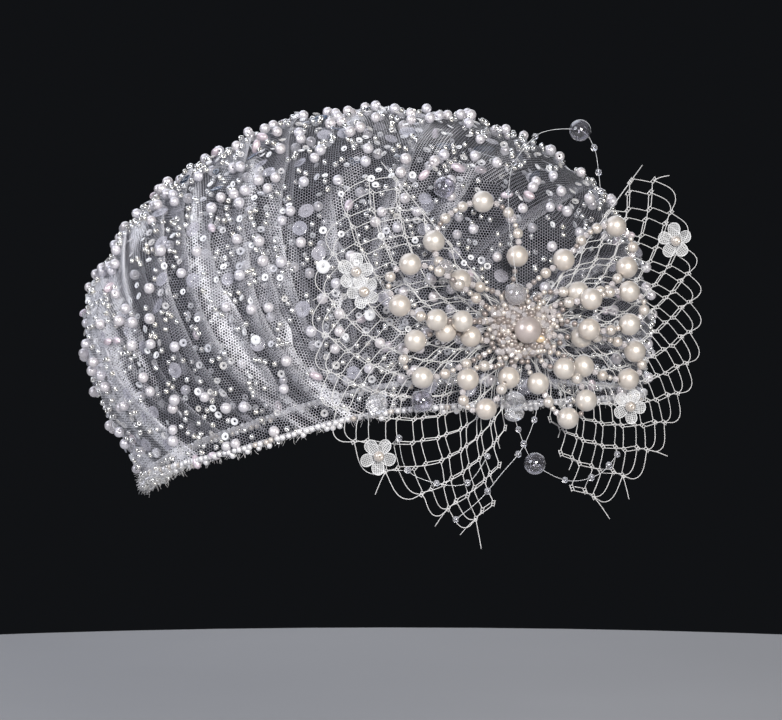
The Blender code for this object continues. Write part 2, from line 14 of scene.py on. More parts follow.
import bmesh
import bpy
import numpy as np
from mathutils import Matrix, Vector, noise
from mathutils.bvhtree import BVHTree
from mathutils.kdtree import KDTree
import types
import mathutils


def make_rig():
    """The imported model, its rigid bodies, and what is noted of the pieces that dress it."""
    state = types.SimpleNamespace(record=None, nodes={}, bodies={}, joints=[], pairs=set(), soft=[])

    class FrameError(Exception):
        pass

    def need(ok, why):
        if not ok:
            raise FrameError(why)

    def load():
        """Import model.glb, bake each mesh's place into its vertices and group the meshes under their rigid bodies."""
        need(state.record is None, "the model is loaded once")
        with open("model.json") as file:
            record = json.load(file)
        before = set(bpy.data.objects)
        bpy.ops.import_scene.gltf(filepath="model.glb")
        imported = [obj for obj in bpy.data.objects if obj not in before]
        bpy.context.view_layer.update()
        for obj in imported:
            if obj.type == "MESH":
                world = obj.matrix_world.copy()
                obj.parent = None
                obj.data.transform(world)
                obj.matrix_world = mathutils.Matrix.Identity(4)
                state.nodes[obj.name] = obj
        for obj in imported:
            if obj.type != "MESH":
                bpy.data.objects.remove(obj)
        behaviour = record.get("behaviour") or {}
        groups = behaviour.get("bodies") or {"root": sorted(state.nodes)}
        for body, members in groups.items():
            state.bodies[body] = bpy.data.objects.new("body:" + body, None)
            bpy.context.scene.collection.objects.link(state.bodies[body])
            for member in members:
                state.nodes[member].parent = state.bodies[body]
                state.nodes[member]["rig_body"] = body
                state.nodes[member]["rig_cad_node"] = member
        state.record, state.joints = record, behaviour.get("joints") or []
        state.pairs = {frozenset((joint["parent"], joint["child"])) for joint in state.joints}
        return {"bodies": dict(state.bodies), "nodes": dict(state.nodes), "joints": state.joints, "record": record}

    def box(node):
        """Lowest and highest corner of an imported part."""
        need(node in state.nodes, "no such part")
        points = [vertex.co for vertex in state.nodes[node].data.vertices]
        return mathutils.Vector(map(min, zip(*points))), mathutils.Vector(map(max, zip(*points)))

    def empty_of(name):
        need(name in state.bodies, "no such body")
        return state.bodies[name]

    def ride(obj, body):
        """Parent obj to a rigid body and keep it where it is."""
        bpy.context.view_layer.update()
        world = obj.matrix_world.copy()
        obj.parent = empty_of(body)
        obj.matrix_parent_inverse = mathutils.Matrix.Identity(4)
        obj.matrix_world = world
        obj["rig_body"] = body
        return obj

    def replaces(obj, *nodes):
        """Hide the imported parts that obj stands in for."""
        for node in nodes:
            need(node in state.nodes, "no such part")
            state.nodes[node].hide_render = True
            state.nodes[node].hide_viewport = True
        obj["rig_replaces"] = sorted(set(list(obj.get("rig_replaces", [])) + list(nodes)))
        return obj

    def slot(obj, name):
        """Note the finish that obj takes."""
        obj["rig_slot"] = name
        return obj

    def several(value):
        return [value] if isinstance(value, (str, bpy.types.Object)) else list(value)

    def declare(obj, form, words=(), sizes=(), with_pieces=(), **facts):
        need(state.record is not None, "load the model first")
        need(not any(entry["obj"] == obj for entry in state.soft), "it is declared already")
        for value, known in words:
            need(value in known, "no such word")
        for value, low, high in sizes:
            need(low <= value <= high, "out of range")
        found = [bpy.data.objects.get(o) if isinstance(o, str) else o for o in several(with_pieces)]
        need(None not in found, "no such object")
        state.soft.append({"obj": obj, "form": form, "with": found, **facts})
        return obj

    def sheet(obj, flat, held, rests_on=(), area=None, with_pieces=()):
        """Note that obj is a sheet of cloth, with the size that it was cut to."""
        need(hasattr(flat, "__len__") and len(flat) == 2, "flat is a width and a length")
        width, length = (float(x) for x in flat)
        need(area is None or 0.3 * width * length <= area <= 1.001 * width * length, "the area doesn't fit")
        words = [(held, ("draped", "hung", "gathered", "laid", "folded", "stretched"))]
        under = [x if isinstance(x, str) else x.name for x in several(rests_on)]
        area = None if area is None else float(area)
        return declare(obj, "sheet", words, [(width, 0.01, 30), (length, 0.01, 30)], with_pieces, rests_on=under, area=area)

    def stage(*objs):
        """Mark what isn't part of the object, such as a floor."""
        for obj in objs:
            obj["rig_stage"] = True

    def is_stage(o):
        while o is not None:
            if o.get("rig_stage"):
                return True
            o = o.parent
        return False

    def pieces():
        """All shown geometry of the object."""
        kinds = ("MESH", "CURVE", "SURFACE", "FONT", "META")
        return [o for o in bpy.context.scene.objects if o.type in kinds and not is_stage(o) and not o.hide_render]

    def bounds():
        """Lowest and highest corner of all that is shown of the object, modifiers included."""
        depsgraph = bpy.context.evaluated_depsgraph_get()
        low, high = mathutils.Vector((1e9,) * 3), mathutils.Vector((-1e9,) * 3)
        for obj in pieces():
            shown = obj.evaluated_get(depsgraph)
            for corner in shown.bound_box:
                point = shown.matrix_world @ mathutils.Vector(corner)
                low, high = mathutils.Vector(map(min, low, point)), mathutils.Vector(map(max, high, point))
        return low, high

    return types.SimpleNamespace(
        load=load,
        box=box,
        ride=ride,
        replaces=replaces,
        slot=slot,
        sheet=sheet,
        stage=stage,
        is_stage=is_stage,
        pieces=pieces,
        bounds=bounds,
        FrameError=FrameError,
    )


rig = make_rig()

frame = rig.load()
CAD_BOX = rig.bounds()

MM = 0.001
SEED = 48
NET_PITCH = 1.05 * MM  # from cell to cell of the fine tulle
ORGANZA_PITCH = 0.68 * MM
UP = Vector((0, 0, 1))
TO_VIEWER = Vector((0, -1, 0))

# The cap, as its source has it.
CAP_AXIS = Vector((-5 * MM, 0, -85 * MM))
BEAD_COVER = 2.6 * MM  # the cloth lies this far inside the solid, whose face is over the sewn beads
COVER_RISE = 14 * MM  # from the rim to where the cloth lies that far in
GATHER_X = 4 * MM
GATHER_Z = -122 * MM
FOLD_CURL = 260  # degrees for each metre away from the gather
FOLD_CURL_FROM = 140  # past this direction, in degrees, the folds turn faster, up to the next
FOLD_CURL_TO = 200
FOLD_CURL_MORE = 4.3  # further degrees for each metre, for each degree past it
FOLD_ROUNDS = 8  # in which a point's fold is found
FACES_DOWN = -0.75  # the rim's own faces point down further than this
SKIN_LEVELS = 2
GRAIN_SHIFT = 2  # metres, which keeps the weave's places above 0

# Doubled folds of the tulle. Columns: direction at the gather, half width, height, where it starts and how
# far it runs from the gather, and how far its own grain is turned.
PLEATS = (
    (48, 2.6, 0.9, 60, 112, 14),
    (66, 3.0, 1.0, 44, 110, -20),
    (84, 2.8, 0.9, 36, 122, 31),
    (101, 3.2, 1.1, 32, 104, 5),
    (116, 2.8, 1.0, 30, 120, -11),
    (130, 3.4, 1.2, 26, 98, 22),
    (143, 3.0, 1.0, 30, 126, -27),
    (154, 3.2, 1.1, 24, 100, 9),
    (162, 4.6, 1.6, 22, 124, 40),
    (174, 3.2, 1.1, 26, 112, -16),
    (186, 4.0, 1.4, 34, 126, 26),
    (198, 4.8, 1.8, 30, 128, -8),
    (210, 4.6, 1.7, 46, 126, 17),
    (222, 3.8, 1.5, 44, 122, -33),
    (236, 3.2, 1.2, 60, 128, 3),
)
# A pleat's cross-section, from its free edge over the fold and back under: share of the half width, share
# of the height, and how closely it is gathered.
PLEAT_PROFILE = (
    (-1.00, 0.06, 0.00),
    (-0.60, 0.25, 0.08),
    (-0.15, 0.55, 0.22),
    (0.30, 0.85, 0.42),
    (0.62, 1.00, 0.55),
    (0.74, 0.86, 0.60),
    (0.62, 0.52, 0.35),
    (0.30, 0.15, 0.10),
)
PLEAT_TRACE = 2.0  # from place to place where a fold is looked for, in millimetres
PLEAT_STEP = 3.0 * MM
PLEAT_STARTS = 6  # a pleat's waves start up to this many radians along
PLEAT_TIP = 0.08  # share of its size that a pleat keeps at its ends
PLEAT_BLUNT = 0.6  # the lower, the sooner it reaches its full size
PLEAT_CLOTH = 2.0  # cloth across a pleat, in half widths, with its tapered ends
PLEAT_WEAVE = 3.2  # weave that it shows across, in half widths
# Pleats before the first of these directions show only this share of gathering, and past the second all.
PLAIN_PLEATS = (80, 120)
PLAIN_SHARE = 0.45
TOP_GAP = 48 * MM  # a fold that ends further than this from its far side stops there
TOP_STEPS = 6  # points over the cap's top edge
# Waves along a pleat: in its size, in millimetres sideways, and in how closely it is gathered. Columns:
# height, radians over the whole length, and how much the pleat's own start shifts it.
SWELL_WAVES = ((0.28, 17, 1), (0.16, 41, 3))
SWAY_WAVES = ((1.6, 9, 2), (0.6, 31, 1))
GATHER_WAVES = ((0.25, 23, 5),)
GATHER_MEAN = 0.75
# Soft bands of gathered tulle along the folds. Columns: degrees to a band, bands to a metre outwards and
# across, and a shift.
WIDE_BANDS = (8.5, 14, 22, 0)
FINE_BANDS = (2.3, 20, 30, 7)
# What adds up to how closely the tulle is gathered, as shares, with the painted shade on its far side at the end.
MILKY_START = -0.22
MILKY_WIDE = 1.25
MILKY_FINE = 0.5
MILKY_FINE_BEHIND = 0.45
MILKY_PLEATED = 0.22  # beside a pleat, and past the nape
MILKY_CLOSE = 0.25
MILKY_OPEN = -0.30
BEHIND = (190, 214)  # directions between which the front's tulle turns into the nape's
OPEN_NET = (118, 98)  # and into the open net over the bow
CLOSE_BY = 0.05  # this far from the gather, in metres
BESIDE_PLEAT = 1.5  # degrees past it
BESIDE_SPREAD = 0.8  # in the pleat's half widths
FAR_SHADE_SIDE = (-0.01, 0.03)  # from where to where along Y the far side thins out and darkens as painted shade, to these two
# Painted shade inside the cap: the far side loses this share of its bands, and then this much more, which leaves its
# threads thinner and darker.
FAR_SHADE_LESS = 0.8
FAR_SHADE = -0.52

# Beads sewn all over the cap. Columns: shape, finish, how many, height of the middle over the cloth,
# room it takes, least and most size, whether it lies flat, and how steeply up the cloth has to face.
SEWN = (
    ("pearl", "cap_pearl", 300, 1.75, 2.0, 0.90, 1.05, False, -1),
    ("rice", "pink_oval", 36, 1.5, 2.3, 0.8, 1.0, False, -1),
    ("paillette", "paillette", 90, 0.3, 2.4, 0.85, 1.1, True, -1),
    ("oval_sequin", "blue_sequin", 22, 0.4, 1.6, 0.8, 1.1, True, 0.72),
    ("cup", "white_ring", 225, 0.7, 1.35, 0.80, 1.05, True, -1),
    ("cup", "clear_ring", 270, 0.7, 1.35, 0.80, 1.15, True, -1),
)
FLAT_LEAN = 0.6  # most that a sequin leans off the cloth
BEAD_LEAN = (-0.4, 0.9)  # and how far a bead's hole points out of it
SEED_LEAN = (-0.2, 0.5)
FAR_THINNER = 0.6  # share of the beads that the far side goes without
FAR_SIDE = (-0.02, 0.03)  # from where to where, along Y
BOW_THINNER = 0.45  # share that the open net over the bow goes without
BOW_SIDE = (0.005, 0.035)  # from where to where, along X
TRIES = 60  # for one bead's place
ROOM_CELL = 6 * MM
OVER_CLOTH = 12  # from here the outermost cloth is looked for, in millimetres
KNOT_CLEAR = 12 * MM  # round the knot's middle, without sewn beads
SEED_CHAINS = 760
CHAIN_LENGTHS = (1, 2, 3, 3)
SEED_PITCH = 1.75 * MM
SEED_HEIGHT = 0.95 * MM
SEED_ROOM = 1.0 * MM
SEED_CLOSER = 0.8  # share of that room for the next seeds of a chain
# White discs, by X and Z in millimetres, and size.
DISCS = ((-24, -57, 1.0), (-7.5, -74, 0.8), (-48, -83, 0.72))
DISC_OFF = 1.6 * MM

# The bow, as its source has it.
BOW_X = 46 * MM
BOW_Z = -79 * MM
BOW_SLOPE = 0.31
BOW_CURVE = 2.6
BOW_LEAN = 5.0
NET_OFF_CAP = 1.6 * MM
NET_RIPPLE = 1.4 * MM
NET_RIPPLES = 4  # gathers across one fan
KNOT_RADIUS = 10 * MM
KNOT_HALF_DEPTH = 5 * MM
KNOT_OVER_NET = 3.6 * MM
CENTRE_PEARL_RADIUS = 4.8 * MM
CENTRE_PEARL_SINKS = 2.4 * MM
FACING = Vector((BOW_SLOPE, -1, 0)).normalized()
TO_FACE = UP.rotation_difference(FACING).to_matrix()
# Each fan's outline, with columns: direction, reach.
FANS = {
    "net_fan_left": ((130, 82), (157, 76), (185, 73), (210, 76), (240, 72), (261, 74)),
    "net_fan_right": ((52, 78), (27, 70), (5, 66), (-20, 66), (-45, 68), (-72, 71)),
}
STRAND_RADIUS = 0.15 * MM
NET_CUT = 0.082  # width of the strip that a fan is cut from
NET_COLUMNS = 12
# Two layers of netting in each fan. Columns: shift in columns of cells, reach, how far off.
NET_LAYERS = (
    (0.0, 1.0, 0.5),
    (0.16, 0.95, -0.6),
)
NET_ROWS = (0.14, 0.22, 0.305, 0.39, 0.48, 0.57, 0.66, 0.75, 0.845, 0.94)
KNOT_STEP = 0.5 * MM  # half the space between two strands at a knot
KNOT_GROWS = 1.6  # how fast that space opens along the reach, up to its full size
KNOT_HALF_LENGTH = 1.2 * MM
FIRST_KNOT = 3.2  # how much further the first knot runs in, towards the bow
RUNGS = (-0.75, 0.0, 0.75)
NET_LEAST_GAP = 0.2 * MM  # a strand is lifted where a bead comes this close
NET_MOST_LIFT = 4 * MM
NET_LIFT_OFF = 1.2  # in strand radii
SCALLOP = 4.4 * MM
SCALLOP_LEAN = 1.6
SCALLOP_ROUND = 0.7
SCALLOP_STEPS = 8
CUT_END_OFF = 0.5 * MM
CUT_END_BACK = 0.1  # how much a cut end leans away from the viewer
CUT_END_BOW = 0.3 * MM
NET_STEPS = 40  # points along a strand, over the whole reach
# Loose cut ends, by fan: column share at the fan's edge, length and lean in degrees.
CUT_ENDS = {
    "net_fan_left": ((0.74, 9, 20), (0.86, 8, -14), (0.93, 11, 24), (0.99, 8, -30), (0.30, 5, 35)),
    "net_fan_right": ((0.90, 9, -20), (0.80, 8, 26), (0.99, 10, 12), (0.03, 6, -30)),
}

# Pearl loops, as their source has them. Columns: name, direction of its slot, direction, reach, half width,
# height over the net, and where its large pearls sit, as shares of its length.
LEG_HALF_SPACING = 11.25
LEG_CLEAR = 0.6 * MM
LEG_STRAIGHT = 5 * MM
LEG_RISE = 0.4
LOOP_STEPS = 9
LOOP_FROM = 0.42
DROP_WIDEST = 0.65
LOOP_SMOOTH = 8  # points from one place of a loop or wire to the next
LOOPS = (
    ("pearl_loop_left_1", 112.5, 117, 48, 15.0, 7.0, (0.15, 0.40, 0.64, 0.81)),
    ("pearl_loop_left_2", 157.5, 158, 50, 8.5, 13.5, (0.41, 0.61, 0.75, 0.85)),
    ("pearl_loop_left_3", 202.5, 196, 43, 7.5, 7.0, (0.11, 0.235, 0.38, 0.615)),
    ("pearl_loop_left_4", 247.5, 236, 33, 6.2, 12.0, (0.34, 0.61, 0.84)),
    ("pearl_loop_right_1", 67.5, 41, 51, 9.5, 7.5, (0.17, 0.38, 0.555, 0.80)),
    ("pearl_loop_right_2", 22.5, 11, 45, 6.5, 14.5, (0.19, 0.38, 0.595, 0.78)),
    ("pearl_loop_right_3", -22.5, -19, 46, 6.5, 7.5, (0.19, 0.42, 0.59, 0.86)),
    ("pearl_loop_right_4", -67.5, -56, 37, 6.5, 11.0, (0.17, 0.43, 0.59, 0.81)),
)
# What is strung between two large pearls, over and over. Columns: shape, finish, length along the string.
STRUNG = (
    ("crystal", "crystal", 2.2),
    ("small_pearl", "small_ivory", 3.6),
    ("tiny_pearl", "small_ivory", 2.1),
    ("crystal", "crystal", 2.2),
    ("small_pearl", "small_ivory", 3.5),
    ("tiny_pearl", "pink_pearl", 2.1),
)
NEAR_KNOT = (
    ("tiny_pearl", "pink_pearl", 2.2),
    ("crystal", "crystal", 2.1),
    ("tiny_pearl", "small_ivory", 2.3),
)
NEAR_KNOT_LENGTH = 9 * MM
STRUNG_SIZES = (0.96, 1.04)
LARGE_SIZES = (0.98, 1.02)
STRING_EASE = 0.4 * MM  # a string may be this much too full
SHORT_GAP = 5 * MM  # filled with the beads near the knot
# The knot: a core, and tiny pearls that cover it from its face back.
KNOT_CORE = (0.86, 0.86, 0.5)  # of its radius, radius and half depth
KNOT_PEARLS = 300
KNOT_COVER = 1.55  # of 2, which would be all round
KNOT_OVAL = 0.93
# How lumpy it is: its plain share of the size, the lumps' height and closeness, and more at its two sides.
KNOT_LUMPS = (0.96, 0.16, 2.6, 0.08)
KNOT_JITTER = 0.35 * MM
KNOT_DISH = 0.85  # of the centre pearl's radius, left free
KNOT_SIZES = (0.9, 1.22)
KNOT_FINISHES = ("pink_pearl", "pink_pearl", "small_ivory", "crystal")
# Short strings of tiny beads between the loops' feet. Columns: share of a turn off the first foot, length,
# and lift at the outer end.
KNOT_SPRAYS = (
    (0.0, 6.0, 4.5),
    (0.5, 4.0, 7.5),
)
KNOT_FEET = 16
SPRAY_STEPS = 4
SPRAY_START = 0.8  # of the knot's radius
SPRAY_JITTER = 0.4  # of a foot's place, and in millimetres outwards
SPRAY_CURL = 0.7
SPRAY_LEAST = 0.8  # in millimetres, to which these shares of the table's length are added
SPRAY_SHARES = (0.3, 1.5)
SPRAY_SIDEWAYS = (0.2, 1.3)  # all round, and more towards the two sides
KNOT_LOOSE = 70  # beads that fill the gaps between the strings
LOOSE_START = 0.75  # of the knot's radius
LOOSE_REACH = (1.0, 7.0)  # in millimetres all round, and more towards the two sides
LOOSE_RISE = (-0.5, 2.5)
LOOSE_BEADS = (
    ("tiny_pearl", "pink_pearl", 1.15),
    ("small_pearl", "small_ivory", 0.7),
    ("crystal", "crystal", 1.15),
)
# Glass bubbles by the knot, with columns: across, up, off the net, size.
KNOT_BUBBLES = (
    (-2.0, 12.5, 9.5, 1.0),
    (-27.0, 22.0, 9.0, 0.75),
)
LARGE_PEARL = 3.9 * MM
LOOP_WIRE_RADIUS = 0.18 * MM
GLUE_RADIUS = 1.5 * MM
GLUE_SHAPE = (1.25, 0.6, 0.9)
GLUE_PLACE = Vector((5.6, 0, -3.4)) * MM
GLUE_OFF = 3.4 * MM

# Clear wires, with columns: name, the node it stands for, points across, up and off the net, its large
# beads as share of its length, shape and finish, and the shares where its small beads sit.
WIRES = (
    (
        "crystal_wire_top",
        "crystal_sprig_top",
        (
            (-0.5, 7.5, 7.85), (-3, 26, 13), (-4.6, 41, 13), (-3.6, 55, 12), (-0.4, 61.5, 11),
            (8, 69.5, 10), (22, 70.3, 9), (27, 64, 9), (28.4, 55, 9), (29, 47, 10),
        ),
        ((0.762, "bubble", "dark_glass"),),
        (0.36, 0.47, 0.60, 0.835, 0.92, 0.985),
    ),
    (
        "crystal_wire_low",
        "crystal_sprig_low",
        (
            (0.4, -10.9, 5), (-0.6, -19, 7), (-2.6, -28, 7.5), (-0.4, -37, 7),
            (5, -47.6, 9), (17, -54, 8), (28.4, -52, 7), (35, -45, 7),
        ),
        (
            (0.185, "rondelle", "cut_glass"),
            (0.255, "rondelle", "cut_glass"),
            (0.505, "bubble", "dark_glass"),
        ),
        (0.11, 0.33, 0.40, 0.68, 0.82, 0.93, 0.995),
    ),
    (
        "crystal_wire_left",
        None,
        ((6, -22, 7), (5, -31, 7.5), (0.4, -42, 8), (-7, -51, 7), (-14.6, -60, 6), (-23.8, -67.5, 5)),
        (),
        (0.18, 0.42, 0.72, 0.985),
    ),
    (
        "crystal_wire_hem",
        None,
        ((-43.3, -37.6, 4.5), (-40.5, -49, 5), (-30, -54, 6), (-19, -54, 6), (-11.7, -44.4, 6)),
        (),
        (0.01, 0.26, 0.5, 0.74, 0.99),
    ),
    (
        "crystal_wire_cross",
        None,
        ((-3.5, -28.4, 9.5), (7, -25.5, 10), (18.5, -25, 10), (25.2, -26.3, 9)),
        (),
        (0.35, 0.70, 0.97),
    ),
)
WIRE_RADIUS = 0.11 * MM
WIRE_SEED_SIZES = (0.85, 1.0)
# Single glass beads on the cap, with columns: node, shape, finish.
SEWN_GLASS = (
    ("hem_crystal_back", "facet", "cut_glass"),
    ("hem_crystal_front", "bubble", "dark_glass"),
    ("crown_bubble", "bubble", "dark_glass"),
)
SEWN_GLASS_AXIS = Vector((0.9, -0.3, 0.35)).normalized()

# Flowers of organza, with columns: piece, the node it stands for, across, up, turn, size.
FLOWERS = (
    ("organza_flower_left_high", "flower_left_high", -59, 21, 10, 1.0),
    ("organza_flower_left_low", "flower_left_low", -51, -44, 54, 1.0),
    ("organza_flower_right_high", "flower_right_high", 56, 31, 20, 0.98),
    ("organza_flower_right_low", "flower_right_low", 39, -28, -8, 0.95),
    ("organza_flower_left_second", None, -56, 13.5, 40, 0.9),
)
PETALS = 5
PETAL_GRID = 8
PETAL_MIDDLE = 3.75  # from the flower's middle, in millimetres
PETAL_HALF_LENGTH = 3.0
PETAL_HALF_WIDTH = 2.75
PETAL_NARROW = 0.66  # share of that width at its inner end
PETAL_CUP = 0.5
PETAL_CUPS = (0.9, 1.5)  # times that, from petal to petal
PETAL_TILT = 0.35
PETAL_TILTS = (-0.5, 0.5)
PETAL_RIPPLE = (0.35, 2.2)  # height, and radians to each unit across
PETAL_OVERLAP = 0.3  # each lies a little over the last
PETAL_EDGE = 0.86  # the rolled edge is outside this share
FLOWER_OFF = 3.2 * MM
FLOWER_PEARL_OFF = 2.0 * MM

HEM_STEPS = 720
HEM_PEARL_RADIUS = 1.12 * MM
HEM_OUT = 1.9 * MM  # from the cloth's edge to the middle of the pearls
HEM_JITTER = 0.2 * MM
HEM_ROWS = ((0.0, 0.0), (-0.9, -1.5))  # each row of pearls: further out and up, in millimetres
HEM_GAPS = 0.7  # share of the pearls that the second row goes without
HEM_IVORY = 0.2
HEM_SIZES = (0.9, 1.04)
TUFT_AZIMUTH = 197  # where the cloth's edge is bunched at the nape, in degrees
TUFT_SPREAD = 16
EDGE_STEPS = 300
EDGE_ROWS = 3
# The cut edge, in millimetres. The last of each row is what the tuft adds.
EDGE_DEPTH = (1.4, 1.6, 3.0)  # least, and more where it is ragged
EDGE_RIPPLE = (0.5, 1.6)
EDGE_OUT = (0.5, 2)  # how far its free side stands out
EDGE_START = (0.6, 1.2)  # out and up from the rim
EDGE_WAVES = (431, 977, 620)  # radians round the rim: two of its ragged depth, and its ripple's
EDGE_SHIFT = 1.3  # of the second wave
EDGE_SLANT = 2  # how much the ripple leans as it goes down, in radians
EDGE_IN_TUFT = (0.6, 0.4)  # the tuft's depth: its plain share, and its ragged one
EDGE_WEAVE = (0.54, 0.004)  # round and down
EDGE_GATHERED = 0.5
FIBRES = 2400
FIBRE_RADIUS = 0.06 * MM
# Frayed threads, in millimetres: least, most, and what the tuft adds to the most.
FIBRE_OUT = (0.3, 1.2, 2)
FIBRE_DOWN = (-1.0, 1.6, 3.4)
FIBRE_LENGTH = (0.9, 2.6, 1.2)
FIBRE_LEAN = (0.5, 0.8)  # out and down
FIBRE_BEND = 0.35
FIBRES_IN_TUFT = 0.3
FIBRES_SPREAD = 11  # degrees, of those in the tuft
FIBRE_SEEDS = (0.03, 0.16)  # share of threads with a seed bead, and what the tuft adds
FIBRE_SEED_SIZE = 0.8

CAMERA_ELEVATION = 3
CAMERA_AWAY = 1.5
CAMERA_AIM = Vector((0, 0, -94.4 * MM))
VIEW_WIDTH = 293.25 * MM
SENSOR = 36
FLOOR_Z = -0.285
FLOOR_RADIUS = 0.75
ROOM_COLOUR = (0.5, 0.55, 0.65, 1)
ROOM_STRENGTH = 0.011
LAMP_AIM = Vector((0, 0, -0.07))
# Lamps, with columns: name, place, size, power, colour.
LAMPS = (
    ("key", (0.36, -1.40, 0.34), 0.6, 25, (1.0, 0.985, 0.96)),
    ("fill", (-1.10, -0.80, 0.45), 0.9, 9, (0.90, 0.92, 1.0)),
    ("top", (-0.45, 0.45, 0.75), 1.3, 6, (0.86, 0.90, 1.0)),
    ("back", (0.25, 1.35, 0.40), 1.0, 3.5, (0.92, 0.94, 1.0)),
)

rng = random.Random(SEED)


def ramp(value, start, end):
    """From 0 at the start to 1 at the end, and flat beyond."""
    return min(1, max(0, (value - start) / (end - start)))


def jitter(reach):
    return Vector([rng.uniform(-reach, reach) for _ in range(3)])


def outward(azimuth):
    """The level direction at an azimuth in radians."""
    return Vector((math.cos(azimuth), math.sin(azimuth), 0))


def middle_of(node):
    low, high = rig.box(node)
    return (Vector(low) + Vector(high)) / 2


def in_scene(name, data):
    """An object of its own for a mesh, a lamp or a camera."""
    made = bpy.data.objects.new(name, data)
    bpy.context.scene.collection.objects.link(made)
    return made


# Node helpers


class Nodes:
    """Short calls for one node tree."""

    def __init__(self, tree):
        self.tree = tree

    def new(self, kind, **settings):
        node = self.tree.nodes.new("ShaderNode" + kind)
        for key, value in settings.items():
            setattr(node, key, value)
        return node

    def feed(self, node, socket, value):
        """A link where the value is a socket, or else a plain value. A colour may leave out its alpha."""
        target = node.inputs[socket]
        if isinstance(value, bpy.types.NodeSocket):
            self.tree.links.new(value, target)
        elif target.type == "RGBA" and len(value) == 3:
            target.default_value = (*value, 1)
        else:
            target.default_value = value

    def fed(self, kind, values, **settings):
        """A node with its sockets fed in order."""
        node = self.new(kind, **settings)
        for i, value in enumerate(values):
            self.feed(node, i, value)
        return node

    def math(self, operation, *values):
        return self.fed("Math", values, operation=operation).outputs[0]

    def vector(self, operation, *values):
        label = "Value" if operation in ("LENGTH", "DOT_PRODUCT") else "Vector"
        return self.fed("VectorMath", values, operation=operation).outputs[label]

    def mix(self, share, low, high):
        node = self.new("Mix", data_type="RGBA")
        self.feed(node, "Factor", share)
        self.feed(node, 6, low)
        self.feed(node, 7, high)
        return node.outputs[2]

    def span(self, value, from_low, from_high, to_low=0.0, to_high=1.0, smooth=False):
        values = (value, from_low, from_high, to_low, to_high)
        kind = "SMOOTHSTEP" if smooth else "LINEAR"
        return self.fed("MapRange", values, interpolation_type=kind).outputs[0]

    def group(self, name, **values):
        node = self.new("Group", node_tree=bpy.data.node_groups[name])
        for key, value in values.items():
            self.feed(node, key, value)
        return node.outputs


def new_group(name, inputs, outputs):
    """An empty shader group with named sockets, and calls for its nodes."""
    tree = bpy.data.node_groups.new(name, "ShaderNodeTree")
    for label, kind, value in inputs:
        socket = tree.interface.new_socket(label, in_out="INPUT", socket_type="NodeSocket" + kind)
        if value is not None:
            socket.default_value = value
    for label in outputs:
        tree.interface.new_socket(label, in_out="OUTPUT", socket_type="NodeSocketFloat")
    return Nodes(tree), tree.nodes.new("NodeGroupInput"), tree.nodes.new("NodeGroupOutput")


def make_net_group():
    """A hexagonal net of fine thread. Pitch is from cell to cell, and Thread a share of it."""
    nodes, given, out = new_group(
        "Hexagonal net",
        (("Vector", "Vector", None), ("Pitch", "Float", 0.001), ("Thread", "Float", 0.3)),
        ("Mask", "Height"),
    )
    half = (0.5, math.sqrt(3) / 2, 0.5)
    minus = tuple(-x for x in half)
    flat = (1, 1, 0)
    scaled = nodes.new("VectorMath", operation="SCALE")
    nodes.feed(scaled, 0, given.outputs["Vector"])
    nodes.feed(scaled, "Scale", nodes.math("DIVIDE", 1.0, given.outputs["Pitch"]))
    spot = scaled.outputs["Vector"]
    first, second = (
        nodes.vector("MULTIPLY", nodes.vector("WRAP", place, half, minus), flat)
        for place in (spot, nodes.vector("SUBTRACT", spot, half))
    )
    nearer = nodes.math("LESS_THAN", nodes.vector("LENGTH", second), nodes.vector("LENGTH", first))
    pick = nodes.new("Mix", data_type="VECTOR")
    for socket, value in (("Factor", nearer), (4, first), (5, second)):
        nodes.feed(pick, socket, value)
    side = nodes.vector("ABSOLUTE", pick.outputs[1])
    slanting = nodes.vector("DOT_PRODUCT", side, (0.5, math.sqrt(3) / 2, 0))
    straight = nodes.vector("DOT_PRODUCT", side, (1, 0, 0))
    edge = nodes.math("SUBTRACT", 0.5, nodes.math("MAXIMUM", slanting, straight))
    half_thread = nodes.math("MULTIPLY", given.outputs["Thread"], 0.5)
    inner = nodes.math("MULTIPLY", half_thread, 0.75)
    outer = nodes.math("MULTIPLY", half_thread, 1.25)
    nodes.feed(out, "Mask", nodes.span(edge, inner, outer, 1.0, 0.0, smooth=True))
    nodes.feed(out, "Height", nodes.span(edge, 0.0, outer, 1.0, 0.0))


def make_mottle_group():
    """Soft cloudy variation, from 0 to 1."""
    nodes, given, out = new_group(
        "Mottle", (("Vector", "Vector", None), ("Scale", "Float", 400.0)), ("Share",)
    )
    pattern = nodes.new("TexNoise")
    pattern.inputs["Detail"].default_value = 3
    nodes.feed(pattern, "Vector", given.outputs["Vector"])
    nodes.feed(pattern, "Scale", given.outputs["Scale"])
    nodes.feed(out, "Share", nodes.span(pattern.outputs["Fac"], 0.3, 0.7))


# Finishes


